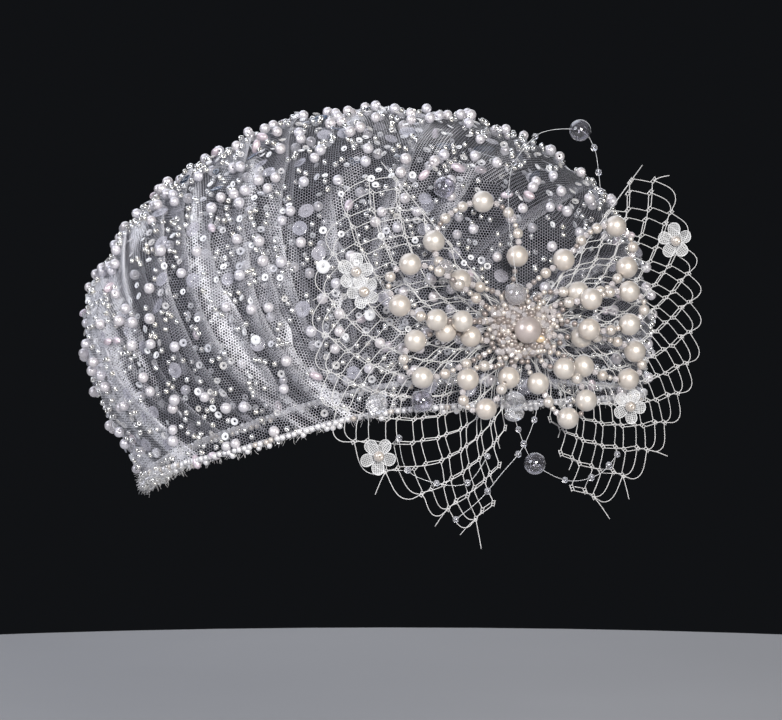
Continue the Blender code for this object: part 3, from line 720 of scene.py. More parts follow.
class Finish(Nodes):
    """One material, with its shader's plain values and soft clouds of its own scale."""

    def __init__(self, name, roughness, scale, **sockets):
        self.material = bpy.data.materials.new(name)
        self.material.use_nodes = True
        super().__init__(self.material.node_tree)
        self.shader = self.tree.nodes["Principled BSDF"]
        self.shader.inputs["Roughness"].default_value = roughness
        for key, value in sockets.items():
            self.shader.inputs[key.replace("_", " ")].default_value = value
        self.cloud = self.group("Mottle", Vector=self.object_place(), Scale=scale)["Share"]

    def object_place(self):
        return self.new("TexCoord").outputs["Object"]

    def uv_place(self):
        return self.new("UVMap", uv_map="weave").outputs["UV"]

    def attribute(self, name):
        return self.new("Attribute", attribute_name=name).outputs["Fac"]

    def colour(self, share, one, other):
        self.feed(self.shader, "Base Color", self.mix(share, one, other))

    def beaded(self, one, other, smooth, rough):
        """A colour that differs from bead to bead, and a gloss that differs in clouds."""
        self.colour(self.attribute("tint"), one, other)
        self.feed(self.shader, "Roughness", self.span(self.cloud, 0.0, 1.0, smooth, rough))

    def bump(self, height, strength, distance):
        node = self.new("Bump")
        for socket, value in (("Strength", strength), ("Distance", distance), ("Height", height)):
            self.feed(node, socket, value)
        self.feed(self.shader, "Normal", node.outputs["Normal"])


def tulle_finish(name, thread, closer):
    """Fine net: clear between its threads, with a second layer where the cloth is gathered."""
    made = Finish(name, 0.5, 55.0, Sheen_Weight=0.15, Sheen_Roughness=0.35)
    gathered = made.attribute("gathered")
    # Where the gathered share is low, as on the far side where it is painted shade, the threads are thinner.
    width = made.math("ADD", made.math("MULTIPLY", gathered, closer), thread)
    slanted = made.new("Mapping")
    slanted.inputs["Rotation"].default_value = (0, 0, math.radians(19))
    made.feed(slanted, "Vector", made.uv_place())
    over, under = (
        made.group("Hexagonal net", Vector=place, Pitch=NET_PITCH, Thread=width)
        for place in (made.uv_place(), slanted.outputs[0])
    )
    doubled = made.span(gathered, 0.35, 0.75, smooth=True)
    single = made.mix(made.cloud, (0.306, 0.306, 0.3485), (0.36, 0.36, 0.41))
    # The threads take the darker colour where the gathered share is low, which on the far side is painted shade.
    made.colour(made.span(gathered, 0.0, 0.6), single, (0.95, 0.94, 0.99))
    second = made.math("MULTIPLY", under["Mask"], doubled)
    made.feed(made.shader, "Alpha", made.math("MAXIMUM", over["Mask"], second))
    made.bump(over["Height"], 0.5, 0.1 * MM)
    return made


def pearl_finish(name, cool, warm, roughness=0.36, coat=0.8):
    """A pearl: a soft lustre, different from bead to bead, under a clear gloss."""
    made = Finish(
        name, roughness, 900.0, Metallic=0.42, Coat_Weight=coat, Coat_Roughness=0.14, Coat_IOR=1.75
    )
    made.beaded(cool, warm, roughness * 0.75, roughness * 1.35)
    made.bump(made.cloud, 0.08, 0.05 * MM)
    return made


def lined_finish(name, silver, champagne):
    """A glass seed bead with a metal lining: bright glints and a dark hole."""
    made = Finish(name, 0.22, 1400.0, Metallic=0.9, Coat_Weight=1.0, Coat_Roughness=0.03, Coat_IOR=1.55)
    made.beaded(silver, champagne, 0.08, 0.30)
    made.bump(made.cloud, 0.35, 0.08 * MM)
    return made


def plastic_finish(name, light, dark, alpha, roughness=0.15):
    """Sequin plastic, whole or see-through."""
    made = Finish(name, roughness, 600.0, Coat_Weight=0.8, Coat_Roughness=0.05, Specular_IOR_Level=0.7)
    made.beaded(light, dark, roughness * 0.6, roughness * 1.6)
    if alpha < 1:
        clear = made.span(made.cloud, 0.0, 1.0, alpha * 0.85, min(1.0, alpha * 1.15))
        made.feed(made.shader, "Alpha", clear)
    return made


def glass_finish(name, colour, clear, ior=1.5):
    """Glass, whole or a little milky, with faint waves in its surface."""
    made = Finish(name, 0.03, 500.0, Transmission_Weight=clear, IOR=ior, Coat_Weight=0.5)
    made.colour(made.cloud, colour, tuple(0.93 * c for c in colour))
    made.bump(made.cloud, 0.06, 0.1 * MM)
    return made


def thread_finish():
    """Twisted thread of the coarse netting."""
    made = Finish("net_thread", 0.45, 260.0, Sheen_Weight=0.3, Specular_IOR_Level=0.5)
    made.colour(made.cloud, (0.60, 0.59, 0.59), (0.74, 0.73, 0.73))
    twist = made.new("TexWave", bands_direction="DIAGONAL")
    for socket, value in (("Vector", made.object_place()), ("Scale", 700.0), ("Distortion", 1.5)):
        made.feed(twist, socket, value)
    made.bump(twist.outputs["Fac"], 0.35, 0.06 * MM)
    return made


def wire_finish():
    """Clear wire, which shows as a thin pale line."""
    made = Finish("clear_wire", 0.12, 300.0, Transmission_Weight=0.45, IOR=1.45)
    made.colour(made.cloud, (0.88, 0.89, 0.92), (0.97, 0.97, 0.98))
    return made


def organza_finish():
    """Stiff organza: a fine plain weave that lets light through."""
    made = Finish("organza_weave", 0.5, 300.0, Sheen_Weight=0.4)
    place = made.uv_place()
    threads = []
    for axis in ((1, 0, 0), (0, 1, 0)):
        along = made.vector("DOT_PRODUCT", place, axis)
        wave = made.math("SINE", made.math("MULTIPLY", along, 2 * math.pi / ORGANZA_PITCH))
        threads.append(made.span(wave, 0.0, 0.9))
    weave = made.math("MAXIMUM", *threads)
    made.colour(made.cloud, (0.84, 0.85, 0.88), (0.95, 0.95, 0.96))
    woven = made.span(weave, 0.0, 1.0, 0.14, 0.62)
    made.feed(made.shader, "Alpha", made.math("MAXIMUM", woven, made.attribute("edge")))
    made.bump(weave, 0.3, 0.05 * MM)
    return made


def glue_finish():
    """A drop of old amber glue between the beads."""
    made = Finish("amber_glue", 0.25, 450.0, Coat_Weight=0.6, Coat_Roughness=0.1)
    made.colour(made.cloud, (0.50, 0.30, 0.12), (0.78, 0.64, 0.46))
    made.bump(made.cloud, 0.4, 0.2 * MM)
    return made


def floor_finish():
    """A plain pale floor."""
    made = Finish("pale_floor", 1.0, 3.0, Specular_IOR_Level=0.0)
    made.colour(made.cloud, (0.42, 0.42, 0.43), (0.45, 0.45, 0.46))
    return made


def make_finishes():
    """Every finish, by name."""
    make_net_group()
    make_mottle_group()
    made = (
        tulle_finish("tulle", 0.125, 0.155),
        tulle_finish("tulle_doubled", 0.11, 0.16),
        pearl_finish("cap_pearl", (0.76, 0.74, 0.80), (0.80, 0.75, 0.77)),
        pearl_finish("hem_pearl", (0.90, 0.89, 0.92), (0.86, 0.84, 0.85)),
        pearl_finish("large_ivory", (0.73, 0.675, 0.62), (0.70, 0.625, 0.56), 0.42, 1.0),
        pearl_finish("small_ivory", (0.68, 0.63, 0.59), (0.66, 0.59, 0.53)),
        pearl_finish("pink_pearl", (0.35, 0.305, 0.29), (0.33, 0.275, 0.25), 0.36, 0.5),
        pearl_finish("centre_pearl", (0.56, 0.485, 0.465), (0.58, 0.50, 0.47), 0.42, 1.0),
        pearl_finish("pink_oval", (0.78, 0.69, 0.78), (0.78, 0.65, 0.69)),
        lined_finish("lined_seed", (0.95, 0.95, 0.96), (0.88, 0.85, 0.79)),
        plastic_finish("white_ring", (0.88, 0.88, 0.90), (0.74, 0.75, 0.80), 1),
        plastic_finish("clear_ring", (0.74, 0.75, 0.82), (0.78, 0.76, 0.74), 0.5),
        plastic_finish("paillette", (0.60, 0.60, 0.70), (0.70, 0.68, 0.76), 0.3),
        plastic_finish("blue_sequin", (0.035, 0.06, 0.11), (0.11, 0.15, 0.23), 0.9),
        glass_finish("glass", (0.96, 0.96, 1.0), 0.95),
        glass_finish("milky_glass", (0.90, 0.88, 0.90), 0.8),
        glass_finish("crystal", (0.84, 0.79, 0.80), 0.5, 1.6),
        glass_finish("cut_glass", (0.97, 0.97, 1.0), 0.85, 1.52),
        glass_finish("dark_glass", (0.88, 0.87, 0.93), 0.97, 1.45),
        thread_finish(),
        wire_finish(),
        organza_finish(),
        glue_finish(),
        floor_finish(),
    )
    return {one.material.name: one.material for one in made}


FINISH = make_finishes()


# Small shapes


def turned(profile, sides):
    """A closed profile of (radius, height) in millimetres, spun round Z."""
    mesh = bmesh.new()
    points = [mesh.verts.new((r * MM, 0, h * MM)) for r, h in profile]
    edges = [mesh.edges.new(pair) for pair in zip(points, points[1:] + points[:1])]
    bmesh.ops.spin(
        mesh, geom=points + edges, axis=UP, cent=(0, 0, 0), angle=2 * math.pi, steps=sides, use_merge=True
    )
    bmesh.ops.remove_doubles(mesh, verts=mesh.verts, dist=1e-6)
    bmesh.ops.recalc_face_normals(mesh, faces=mesh.faces)
    return mesh


def arc(radius, hole, rows, stretch=1.0):
    """A ball's outline from one end of its hole to the other."""
    start = math.asin(hole / radius)
    angles = [start + (math.pi - 2 * start) * i / rows for i in range(rows + 1)]
    return [(radius * math.sin(a), radius * stretch * math.cos(a)) for a in angles]


def drilled_ball(radius, hole, rows, sides, stretch=1.0):
    """A round bead with a hole through it."""
    return turned(arc(radius, hole, rows, stretch), sides)


def hollow_ball(radius, wall, hole, rows, sides):
    """A thin glass bubble, open at both holes."""
    return turned(arc(radius, hole, rows) + arc(radius - wall, hole, rows)[::-1], sides)


def ball(radius, sides, rows, stretch=(1, 1, 1), middle=(0, 0, 0)):
    """A whole ball in its place, or with few sides a bead with flat facets."""
    mesh = bmesh.new()
    bmesh.ops.create_uvsphere(mesh, u_segments=sides, v_segments=rows, radius=radius)
    bmesh.ops.scale(mesh, vec=stretch, verts=mesh.verts)
    bmesh.ops.translate(mesh, vec=middle, verts=mesh.verts)
    return mesh


def flat_oval(length, width, hole, thick, sides):
    """A flat sequin with a hole in it."""
    mesh = turned(((hole, 0), (1.0, 0), (1.04, thick / 2), (1.0, thick), (hole, thick)), sides)
    bmesh.ops.scale(mesh, vec=(length / 2, width / 2, 1), verts=mesh.verts)
    return mesh


def arrays_of(mesh, smooth=True):
    """A bmesh as numpy arrays, which frees it."""
    mesh.verts.index_update()
    points = np.array([v.co for v in mesh.verts])
    sizes = np.array([len(f.verts) for f in mesh.faces])
    corners = np.array([v.index for f in mesh.faces for v in f.verts])
    mesh.free()
    return points, sizes, corners, smooth


def make_shapes():
    """Every small shape, by name. The hundreds of small beads have only a few dozen faces each."""
    seed = ((0.42, -0.55), (0.78, -0.75), (1.02, -0.35), (1.02, 0.35), (0.78, 0.75), (0.42, 0.55))
    cup = ((0.45, 0.05), (1.3, 0.42), (1.42, 0.62), (1.30, 0.72), (0.42, 0.32))
    return {
        "pearl": arrays_of(drilled_ball(2.0, 0.42, 7, 12)),
        "rice": arrays_of(drilled_ball(1.6, 0.4, 7, 10, 1.75)),
        "small_pearl": arrays_of(drilled_ball(1.95, 0.35, 8, 14)),
        "tiny_pearl": arrays_of(drilled_ball(1.08, 0.25, 5, 8)),
        "hem_pearl": arrays_of(drilled_ball(1.12, 0.2, 6, 9)),
        "large_pearl": arrays_of(drilled_ball(3.9, 0.5, 16, 24)),
        "seed": arrays_of(turned(seed, 8)),
        "cup": arrays_of(turned(cup, 10)),
        "paillette": arrays_of(flat_oval(5.4, 5.4, 0.06, 0.16, 14)),
        "oval_sequin": arrays_of(flat_oval(8.0, 3.4, 0.12, 0.16, 14)),
        "disc": arrays_of(flat_oval(4.8, 4.8, 0.1, 0.7, 18)),
        "crystal": arrays_of(ball(1.2 * MM, 8, 6), False),
        "wire_seed": arrays_of(drilled_ball(1.3, 0.25, 7, 12)),
        "bubble": arrays_of(hollow_ball(3.9, 0.3, 0.5, 14, 28)),
        "facet": arrays_of(ball(3.9 * MM, 12, 9), False),
        "rondelle": arrays_of(ball(3.6 * MM, 14, 9, (1, 1, 0.72)), False),
    }


SHAPES = make_shapes()


class Pile:
    """Gathers copies of small shapes, and shapes already in place, into one joined mesh."""

    def __init__(self, name):
        self.name = name
        self.copies = {}
        self.others = []
        self.finishes = []

    def slot(self, finish):
        if finish not in self.finishes:
            self.finishes.append(finish)
        return self.finishes.index(finish)

    def add(self, shape, finish, spot, axis, size=1.0):
        """A copy of a shape at a spot, with its hole along an axis."""
        turn = Matrix.Rotation(rng.uniform(0, 2 * math.pi), 3, "Z")
        matrix = np.array(UP.rotation_difference(axis).to_matrix() @ turn) * size
        entry = (matrix, tuple(spot), self.slot(finish), rng.random())
        self.copies.setdefault(shape, []).append(entry)

    def add_arrays(self, arrays, finish):
        """One shape that is already in its place."""
        self.others.append((arrays, self.slot(finish)))

    def blocks(self):
        """Points, face sizes, corners, slots, tints and smoothness of each shape's copies."""
        for shape, entries in self.copies.items():
            points, sizes, corners, smooth = SHAPES[shape]
            count = len(entries)
            turns, spots, slots, tints = (np.array(column) for column in zip(*entries))
            placed = np.einsum("nij,vj->nvi", turns, points) + spots[:, None, :]
            shift = np.arange(count)[:, None] * len(points)
            yield (
                placed.reshape(-1, 3),
                np.tile(sizes, count),
                (corners[None, :] + shift).reshape(-1),
                np.repeat(slots, len(sizes)),
                np.repeat(tints, len(points)),
                np.full(count * len(sizes), smooth),
            )
        for (points, sizes, corners, smooth), slot in self.others:
            yield (
                points,
                sizes,
                corners,
                np.full(len(sizes), slot),
                np.full(len(points), 0.5),
                np.full(len(sizes), smooth),
            )

    def make(self):
        """The joined object."""
        blocks = list(self.blocks())
        starts = np.cumsum([0] + [len(block[0]) for block in blocks])
        corners = np.concatenate([block[2] + start for block, start in zip(blocks, starts)])
        points, sizes, slots, tints, smooth = (
            np.concatenate([block[k] for block in blocks]) for k in (0, 1, 3, 4, 5)
        )
        mesh = bpy.data.meshes.new(self.name)
        mesh.vertices.add(len(points))
        mesh.loops.add(len(corners))
        mesh.polygons.add(len(sizes))
        mesh.vertices.foreach_set("co", points.astype(np.float32).reshape(-1))
        mesh.loops.foreach_set("vertex_index", corners.astype(np.int32))
        mesh.polygons.foreach_set("loop_start", (np.cumsum(sizes) - sizes).astype(np.int32))
        mesh.update(calc_edges=True)
        mesh.polygons.foreach_set("use_smooth", smooth)
        mesh.polygons.foreach_set("material_index", slots.astype(np.int32))
        tint = mesh.attributes.new("tint", "FLOAT", "POINT")
        tint.data.foreach_set("value", tints.astype(np.float32))
        for finish in self.finishes:
            mesh.materials.append(FINISH[finish])
        return in_scene(self.name, mesh)


class Line:
    """A line of points that is read by length."""

    def __init__(self, points):
        self.points = np.array(points)
        steps = np.linalg.norm(np.diff(self.points, axis=0), axis=1)
        self.lengths = np.concatenate([[0], np.cumsum(steps)])
        self.whole = self.lengths[-1]

    def at(self, length):
        return Vector([np.interp(length, self.lengths, self.points[:, k]) for k in range(3)])

    def ahead(self, length):
        return (self.at(length + 0.5 * MM) - self.at(length - 0.5 * MM)).normalized()


def tubes(lines, radius, resolution=1):
    """Round closed tubes along lines of points, as one set of arrays."""
    curve = bpy.data.curves.new("tubes", "CURVE")
    curve.dimensions = "3D"
    curve.bevel_depth = radius
    curve.bevel_resolution = resolution
    curve.use_fill_caps = True
    for line in lines:
        spline = curve.splines.new("POLY")
        spline.points.add(len(line) - 1)
        for point, place in zip(spline.points, line):
            point.co = (*place, 1)
    holder = bpy.data.objects.new("tubes", curve)
    made = bpy.data.meshes.new_from_object(holder)
    mesh = bmesh.new()
    mesh.from_mesh(made)
    bmesh.ops.remove_doubles(mesh, verts=mesh.verts, dist=1e-7)
    bmesh.ops.recalc_face_normals(mesh, faces=mesh.faces)
    bpy.data.meshes.remove(made)
    bpy.data.objects.remove(holder)
    bpy.data.curves.remove(curve)
    return arrays_of(mesh)


def patch(mesh, columns, rows, place, layers):
    """Adds a grid to a bmesh. place gives a point, its weave place in metres and its gathered share."""
    weave, mark = layers
    made = bmesh.ops.create_grid(mesh, x_segments=columns, y_segments=rows, size=0.5)
    shares = {v: (v.co.x + 0.5, v.co.y + 0.5) for v in made["verts"]}
    found = {v: place(*share) for v, share in shares.items()}
    faces = {f for v in made["verts"] for f in v.link_faces}
    for v, (spot, _, share) in found.items():
        v.co = spot
        v[mark] = share
    for f in faces:
        f.smooth = True
        for loop in f.loops:
            loop[weave].uv = found[loop.vert][1]


def cloth_mesh(mark_name):
    """An empty bmesh with a weave map and one named mark on its points."""
    mesh = bmesh.new()
    return mesh, (mesh.loops.layers.uv.new("weave"), mesh.verts.layers.float.new(mark_name))


def object_from(name, mesh, *finishes):
    """An object from a bmesh, with its finishes."""
    data = bpy.data.meshes.new(name)
    mesh.to_mesh(data)
    mesh.free()
    for finish in finishes:
        data.materials.append(FINISH[finish])
    return in_scene(name, data)


def tree_of(*objects):
    """A search tree of finished objects."""
    points, faces = [], []
    for one in objects:
        start = len(points)
        points += [v.co.copy() for v in one.data.vertices]
        faces += [[start + i for i in p.vertices] for p in one.data.polygons]
    return BVHTree.FromPolygons(points, faces)


def seen(tree, x, z):
    """The foremost point of a tree at a place, or None beside it."""
    return tree.ray_cast(Vector((x, -1, z)), -TO_VIEWER)[0]


# The cap's cloth


class CapShape:
    """The cap's outer skin, from the frame, with ways to find places on it."""

    def __init__(self):
        self.skin = self.make_skin()
        self.rim = self.find_rim()
        self.draw_in()
        self.tree = tree_of(self.skin)

    def make_skin(self):
        """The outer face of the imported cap, smoothed."""
        mesh = bmesh.new()
        mesh.from_mesh(frame["nodes"]["cap_crown"].data)
        bmesh.ops.remove_doubles(mesh, verts=mesh.verts, dist=1e-6)
        mesh.normal_update()
        inner = [
            f for f in mesh.faces
            if f.normal.dot(f.calc_center_median() - CAP_AXIS) < 0 or f.normal.z < FACES_DOWN
        ]
        bmesh.ops.delete(mesh, geom=inner, context="FACES")
        bmesh.ops.join_triangles(
            mesh, faces=mesh.faces, angle_face_threshold=math.pi, angle_shape_threshold=math.pi
        )
        holder = object_from("cap_skin", mesh)
        smooth = holder.modifiers.new("smooth", "SUBSURF")
        smooth.levels = SKIN_LEVELS
        smooth.render_levels = SKIN_LEVELS
        deps = bpy.context.evaluated_depsgraph_get()
        old = holder.data
        holder.data = bpy.data.meshes.new_from_object(holder.evaluated_get(deps))
        holder.modifiers.clear()
        bpy.data.meshes.remove(old)
        return holder

    def draw_in(self):
        """Lays the cloth under the beads' faces, except at the hem."""
        spots = KDTree(len(self.rim[1]))
        for i, spot in enumerate(self.rim[1]):
            spots.insert(spot, i)
        spots.balance()
        data = self.skin.data
        normals = [v.normal.copy() for v in data.vertices]
        for v, normal in zip(data.vertices, normals):
            share = ramp(spots.find(v.co)[2], 0, COVER_RISE)
            v.co -= normal * BEAD_COVER * share * share * (3 - 2 * share)
        data.update()

    def find_rim(self):
        """The open edge's azimuths and points, in order round it."""
        mesh = bmesh.new()
        mesh.from_mesh(self.skin.data)
        ends = {v.index: v.co.copy() for e in mesh.edges if e.is_boundary for v in e.verts}
        mesh.free()
        spots = {math.atan2(spot.y, spot.x - CAP_AXIS.x): spot for spot in ends.values()}
        keys = sorted(spots)
        return np.array(keys), np.array([spots[k] for k in keys])

    def rim_at(self, azimuth):
        """The rim's point at an azimuth in radians."""
        azimuth = (azimuth + math.pi) % (2 * math.pi) - math.pi
        keys, spots = self.rim
        return Vector([np.interp(azimuth, keys, spots[:, k], period=2 * math.pi) for k in range(3)])


def grain_place(spot, normal, band):
    """A point's place in the weave: the plane that the cloth faces most, turned a little in each pleat."""
    widest = max(range(3), key=lambda k: abs(normal[k]))
    flat = [spot[k] + GRAIN_SHIFT for k in range(3) if k != widest]
    turn = math.radians(PLEATS[band % len(PLEATS)][-1])
    return (
        flat[0] * math.cos(turn) - flat[1] * math.sin(turn),
        flat[0] * math.sin(turn) + flat[1] * math.cos(turn),
    )


def band_noise(row, direction, away, spot):
    degrees, outwards, across, shift = row
    return noise.noise(Vector((direction / degrees, away * outwards, spot.y * across + shift)))


def milkiness_and_far_shade(spot):
    """How closely the cloth is gathered at a point, in soft bands along the folds, pushed down on the far side as
    painted shade, which makes its threads there thinner and darker.
    """
    facing = fold_angle(spot)
    away = math.hypot(spot.x - GATHER_X, spot.z - GATHER_Z)
    wide = band_noise(WIDE_BANDS, facing, away, spot)
    fine = band_noise(FINE_BANDS, facing, away, spot)
    behind = ramp(facing, *BEHIND)
    beside = max(
        math.exp(-(((facing - row[0] - BESIDE_PLEAT) / (BESIDE_SPREAD * row[1])) ** 2)) for row in PLEATS
    )
    share = MILKY_START + MILKY_OPEN * ramp(facing, *OPEN_NET) + MILKY_WIDE * wide
    share += (MILKY_FINE + MILKY_FINE_BEHIND * behind) * fine
    share += MILKY_PLEATED * (beside + behind) + MILKY_CLOSE * (1 - ramp(away, 0, CLOSE_BY))
    # Painted shade: the far side, inside the cap, is made thinner and darker.
    far = ramp(spot.y, *FAR_SHADE_SIDE)
    return ramp(share, 0, 1) * (1 - FAR_SHADE_LESS * far) + FAR_SHADE * far


def make_tulle(cap):
    """The cap's gathered tulle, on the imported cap's own outer skin."""
    mesh = bmesh.new()
    mesh.from_mesh(cap.skin.data)
    weave = mesh.loops.layers.uv.new("weave")
    mark = mesh.verts.layers.float.new("gathered")
    directions = [row[0] for row in PLEATS]
    for v in mesh.verts:
        v[mark] = milkiness_and_far_shade(v.co)
    for f in mesh.faces:
        f.smooth = True
        band = bisect.bisect(directions, fold_angle(f.calc_center_median()))
        for loop in f.loops:
            loop[weave].uv = grain_place(loop.vert.co, f.normal, band)
    return object_from("tulle_cap", mesh, "tulle")


def fold_curl(direction):
    """How fast the fold that starts in a direction turns, in degrees for each metre."""
    past = min(max(direction, FOLD_CURL_FROM), FOLD_CURL_TO) - FOLD_CURL_FROM
    return FOLD_CURL + FOLD_CURL_MORE * past


def fold_angle(spot):
    """The direction at the gather of the fold that passes a point, in degrees."""
    across = spot.x - GATHER_X
    up = spot.z - GATHER_Z
    seen = math.degrees(math.atan2(up, across)) % 360
    direction = seen
    for _ in range(FOLD_ROUNDS):
        direction = seen + fold_curl(direction) * math.hypot(across, up)
    return direction


def pleat_lines(cap, direction, start, end):
    """A fold's lines with the skin's normals: one over the top, or one on each side of a wide gap."""
    near, far = [], []
    away = start
    while away <= end:
        angle = math.radians(direction - fold_curl(direction) * away * MM)
        x = GATHER_X + away * MM * math.cos(angle)
        z = GATHER_Z + away * MM * math.sin(angle)
        away += PLEAT_TRACE
        for side, found in ((-1, near), (1, far)):
            spot, normal, _, _ = cap.tree.ray_cast(Vector((x, side, z)), Vector((0, -side, 0)))
            if spot is not None:
                found.append((spot, normal))
    if not near or not far or (near[-1][0] - far[-1][0]).length > TOP_GAP:
        return [line for line in (near, far[::-1]) if len(line) > 1]
    over = []
    for k in range(1, TOP_STEPS):
        spot, normal, _, _ = cap.tree.find_nearest(near[-1][0].lerp(far[-1][0], k / TOP_STEPS))
        over.append((spot, normal))
    return [near + over + far[::-1]]


def evenly(line, step):
    """The line's points again, a step apart, with their normals, and its length."""
    lengths = [0]
    for (a, _), (b, _) in zip(line, line[1:]):
        lengths.append(lengths[-1] + (b - a).length)
    count = max(2, round(lengths[-1] / step))
    places = np.linspace(0, lengths[-1], count + 1)
    spots, normals = (
        [Vector([np.interp(p, lengths, column) for column in zip(*values)]) for p in places]
        for values in zip(*line)
    )
    return [(spot, normal.normalized()) for spot, normal in zip(spots, normals)], lengths[-1]


def waves(rows, along, wobble):
    """Waves along a pleat, added up."""
    return sum(height * math.sin(along * radians + wobble * shift) for height, radians, shift in rows)


def make_pleats(cap):
    """The doubled folds that sweep up from the bow and over the crown."""
    mesh, layers = cloth_mesh("gathered")
    area = 0
    for direction, half_width, height, start, end, _ in PLEATS:
        wobble = rng.uniform(0, PLEAT_STARTS)
        plain = PLAIN_SHARE + (1 - PLAIN_SHARE) * ramp(direction, *PLAIN_PLEATS)
        for found in pleat_lines(cap, direction, start, end):
            line, length = evenly(found, PLEAT_STEP)

            def place(across, along):
                at = along * (len(line) - 1)
                low = min(int(at), len(line) - 2)
                spot = line[low][0].lerp(line[low + 1][0], at - low)
                normal = line[low][1].lerp(line[low + 1][1], at - low).normalized()
                ahead = (line[low + 1][0] - line[low][0]).normalized()
                beside = ahead.cross(normal).normalized()
                side, lift, dense = PLEAT_PROFILE[round(across * (len(PLEAT_PROFILE) - 1))]
                swell = PLEAT_TIP + (1 - PLEAT_TIP) * math.sin(math.pi * ramp(along, 0, 1)) ** PLEAT_BLUNT
                swell *= 1 + waves(SWELL_WAVES, along, wobble)
                sway = waves(SWAY_WAVES, along, wobble) * MM * swell
                spot = spot + beside * (side * half_width * MM * swell + sway)
                spot = spot + normal * lift * height * MM * swell
                dense *= swell * (GATHER_MEAN + waves(GATHER_WAVES, along, wobble)) * plain
                woven = (across * PLEAT_WEAVE * half_width * MM + direction, along * length)
                return spot, woven, dense

            patch(mesh, len(PLEAT_PROFILE) - 1, len(line) - 1, place, layers)
            area += PLEAT_CLOTH * half_width * MM * length
    return object_from("tulle_pleats", mesh, "tulle_doubled"), area


def tuft_share(azimuth):
    """How much the cloth's edge is bunched at an azimuth in radians."""
    return math.exp(-(((math.degrees(azimuth) % 360 - TUFT_AZIMUTH) / TUFT_SPREAD) ** 2))


def make_raw_edge(cap):
    """The cut edge of the tulle below the hem pearls, with a thicker tuft at the nape."""
    mesh, layers = cloth_mesh("gathered")
    least, more, tufted = EDGE_DEPTH
    first, second, rippling = EDGE_WAVES

    def place(across, along):
        azimuth = math.radians(360 * across)
        tuft = tuft_share(azimuth)
        ragged = 0.5 + 0.5 * math.sin(across * first) * math.sin(across * second + EDGE_SHIFT)
        in_tuft = tufted * tuft * (EDGE_IN_TUFT[0] + EDGE_IN_TUFT[1] * ragged)
        depth = (least + more * ragged + in_tuft) * MM
        ripple = EDGE_RIPPLE[0] + EDGE_RIPPLE[1] * tuft
        ripple *= math.sin(across * rippling + along * EDGE_SLANT) * along
        out = EDGE_START[0] + ripple + along * (EDGE_OUT[0] + EDGE_OUT[1] * tuft)
        spot = cap.rim_at(azimuth) + outward(azimuth) * out * MM
        spot -= UP * (along * depth - EDGE_START[1] * MM)
        return spot, (across * EDGE_WEAVE[0], along * EDGE_WEAVE[1]), EDGE_GATHERED

    patch(mesh, EDGE_STEPS, EDGE_ROWS, place, layers)
    return object_from("tulle_raw_edge", mesh, "tulle_doubled")


# Beads on the cap


class Room:
    """Keeps beads from sitting in each other."""

    def __init__(self):
        self.cells = {}

    def key(self, spot):
        return tuple(int(math.floor(c / ROOM_CELL)) for c in spot)

    def free(self, spot, radius):
        for shift in itertools.product((-1, 0, 1), repeat=3):
            cell = tuple(a + b for a, b in zip(self.key(spot), shift))
            for other, room in self.cells.get(cell, ()):
                if (other - spot).length < room + radius:
                    return False
        return True

    def take(self, spot, radius):
        self.cells.setdefault(self.key(spot), []).append((spot.copy(), radius))


class Sewer:
    """Finds places for beads on the cloth."""

    def __init__(self, cap, pleats):
        self.tree = tree_of(cap.skin, pleats)
        mesh = cap.skin.data
        self.centres = [p.center.copy() for p in mesh.polygons]
        self.normals = [p.normal.copy() for p in mesh.polygons]
        areas = np.cumsum([p.area for p in mesh.polygons])
        self.shares = areas / areas[-1]
        self.room = Room()
        self.knot_middle = middle_of("bow_knot")

    def spot(self):
        """A place on the outermost cloth or None, and its outward direction."""
        i = int(np.searchsorted(self.shares, rng.random()))
        normal = self.normals[i]
        start = self.centres[i] + jitter(MM)
        return self.tree.ray_cast(start + normal * OVER_CLOTH * MM, -normal)[0], normal

    def find(self, height, radius, facing_up=-1):
        """A free place for a bead's middle, where the cloth faces up enough."""
        for _ in range(TRIES):
            hit, normal = self.spot()
            if hit is None or normal.z < facing_up:
                continue
            far = ramp(hit.y, *FAR_SIDE)
            by_bow = ramp(hit.x, *BOW_SIDE) * (1 - far)
            if rng.random() < FAR_THINNER * far + BOW_THINNER * by_bow:
                continue
            middle = hit + normal * height
            if (middle - self.knot_middle).length < KNOT_CLEAR:
                continue
            if self.room.free(middle, radius):
                self.room.take(middle, radius)
                return middle, normal
        return None


def tangent(normal):
    """A random direction along the cloth."""
    side = normal.orthogonal().normalized()
    return Matrix.Rotation(rng.uniform(0, 2 * math.pi), 3, normal) @ side


def sew_seeds(sewer, pile):
    """Seed beads in short chains that follow the cloth."""
    for _ in range(SEED_CHAINS):
        found = sewer.find(SEED_HEIGHT, SEED_ROOM)
        if found is None:
            continue
        middle, normal = found
        axis = tangent(normal)
        pile.add("seed", "lined_seed", middle, (axis + normal * rng.uniform(*SEED_LEAN)).normalized())
        for k in range(1, rng.choice(CHAIN_LENGTHS)):
            beside = middle + axis * SEED_PITCH * k
            hit = sewer.tree.find_nearest(beside)[0]
            beside = hit + (beside - hit).normalized() * SEED_HEIGHT if hit else beside
            if sewer.room.free(beside, SEED_CLOSER * SEED_ROOM):
                sewer.room.take(beside, SEED_CLOSER * SEED_ROOM)
                pile.add("seed", "lined_seed", beside, axis)


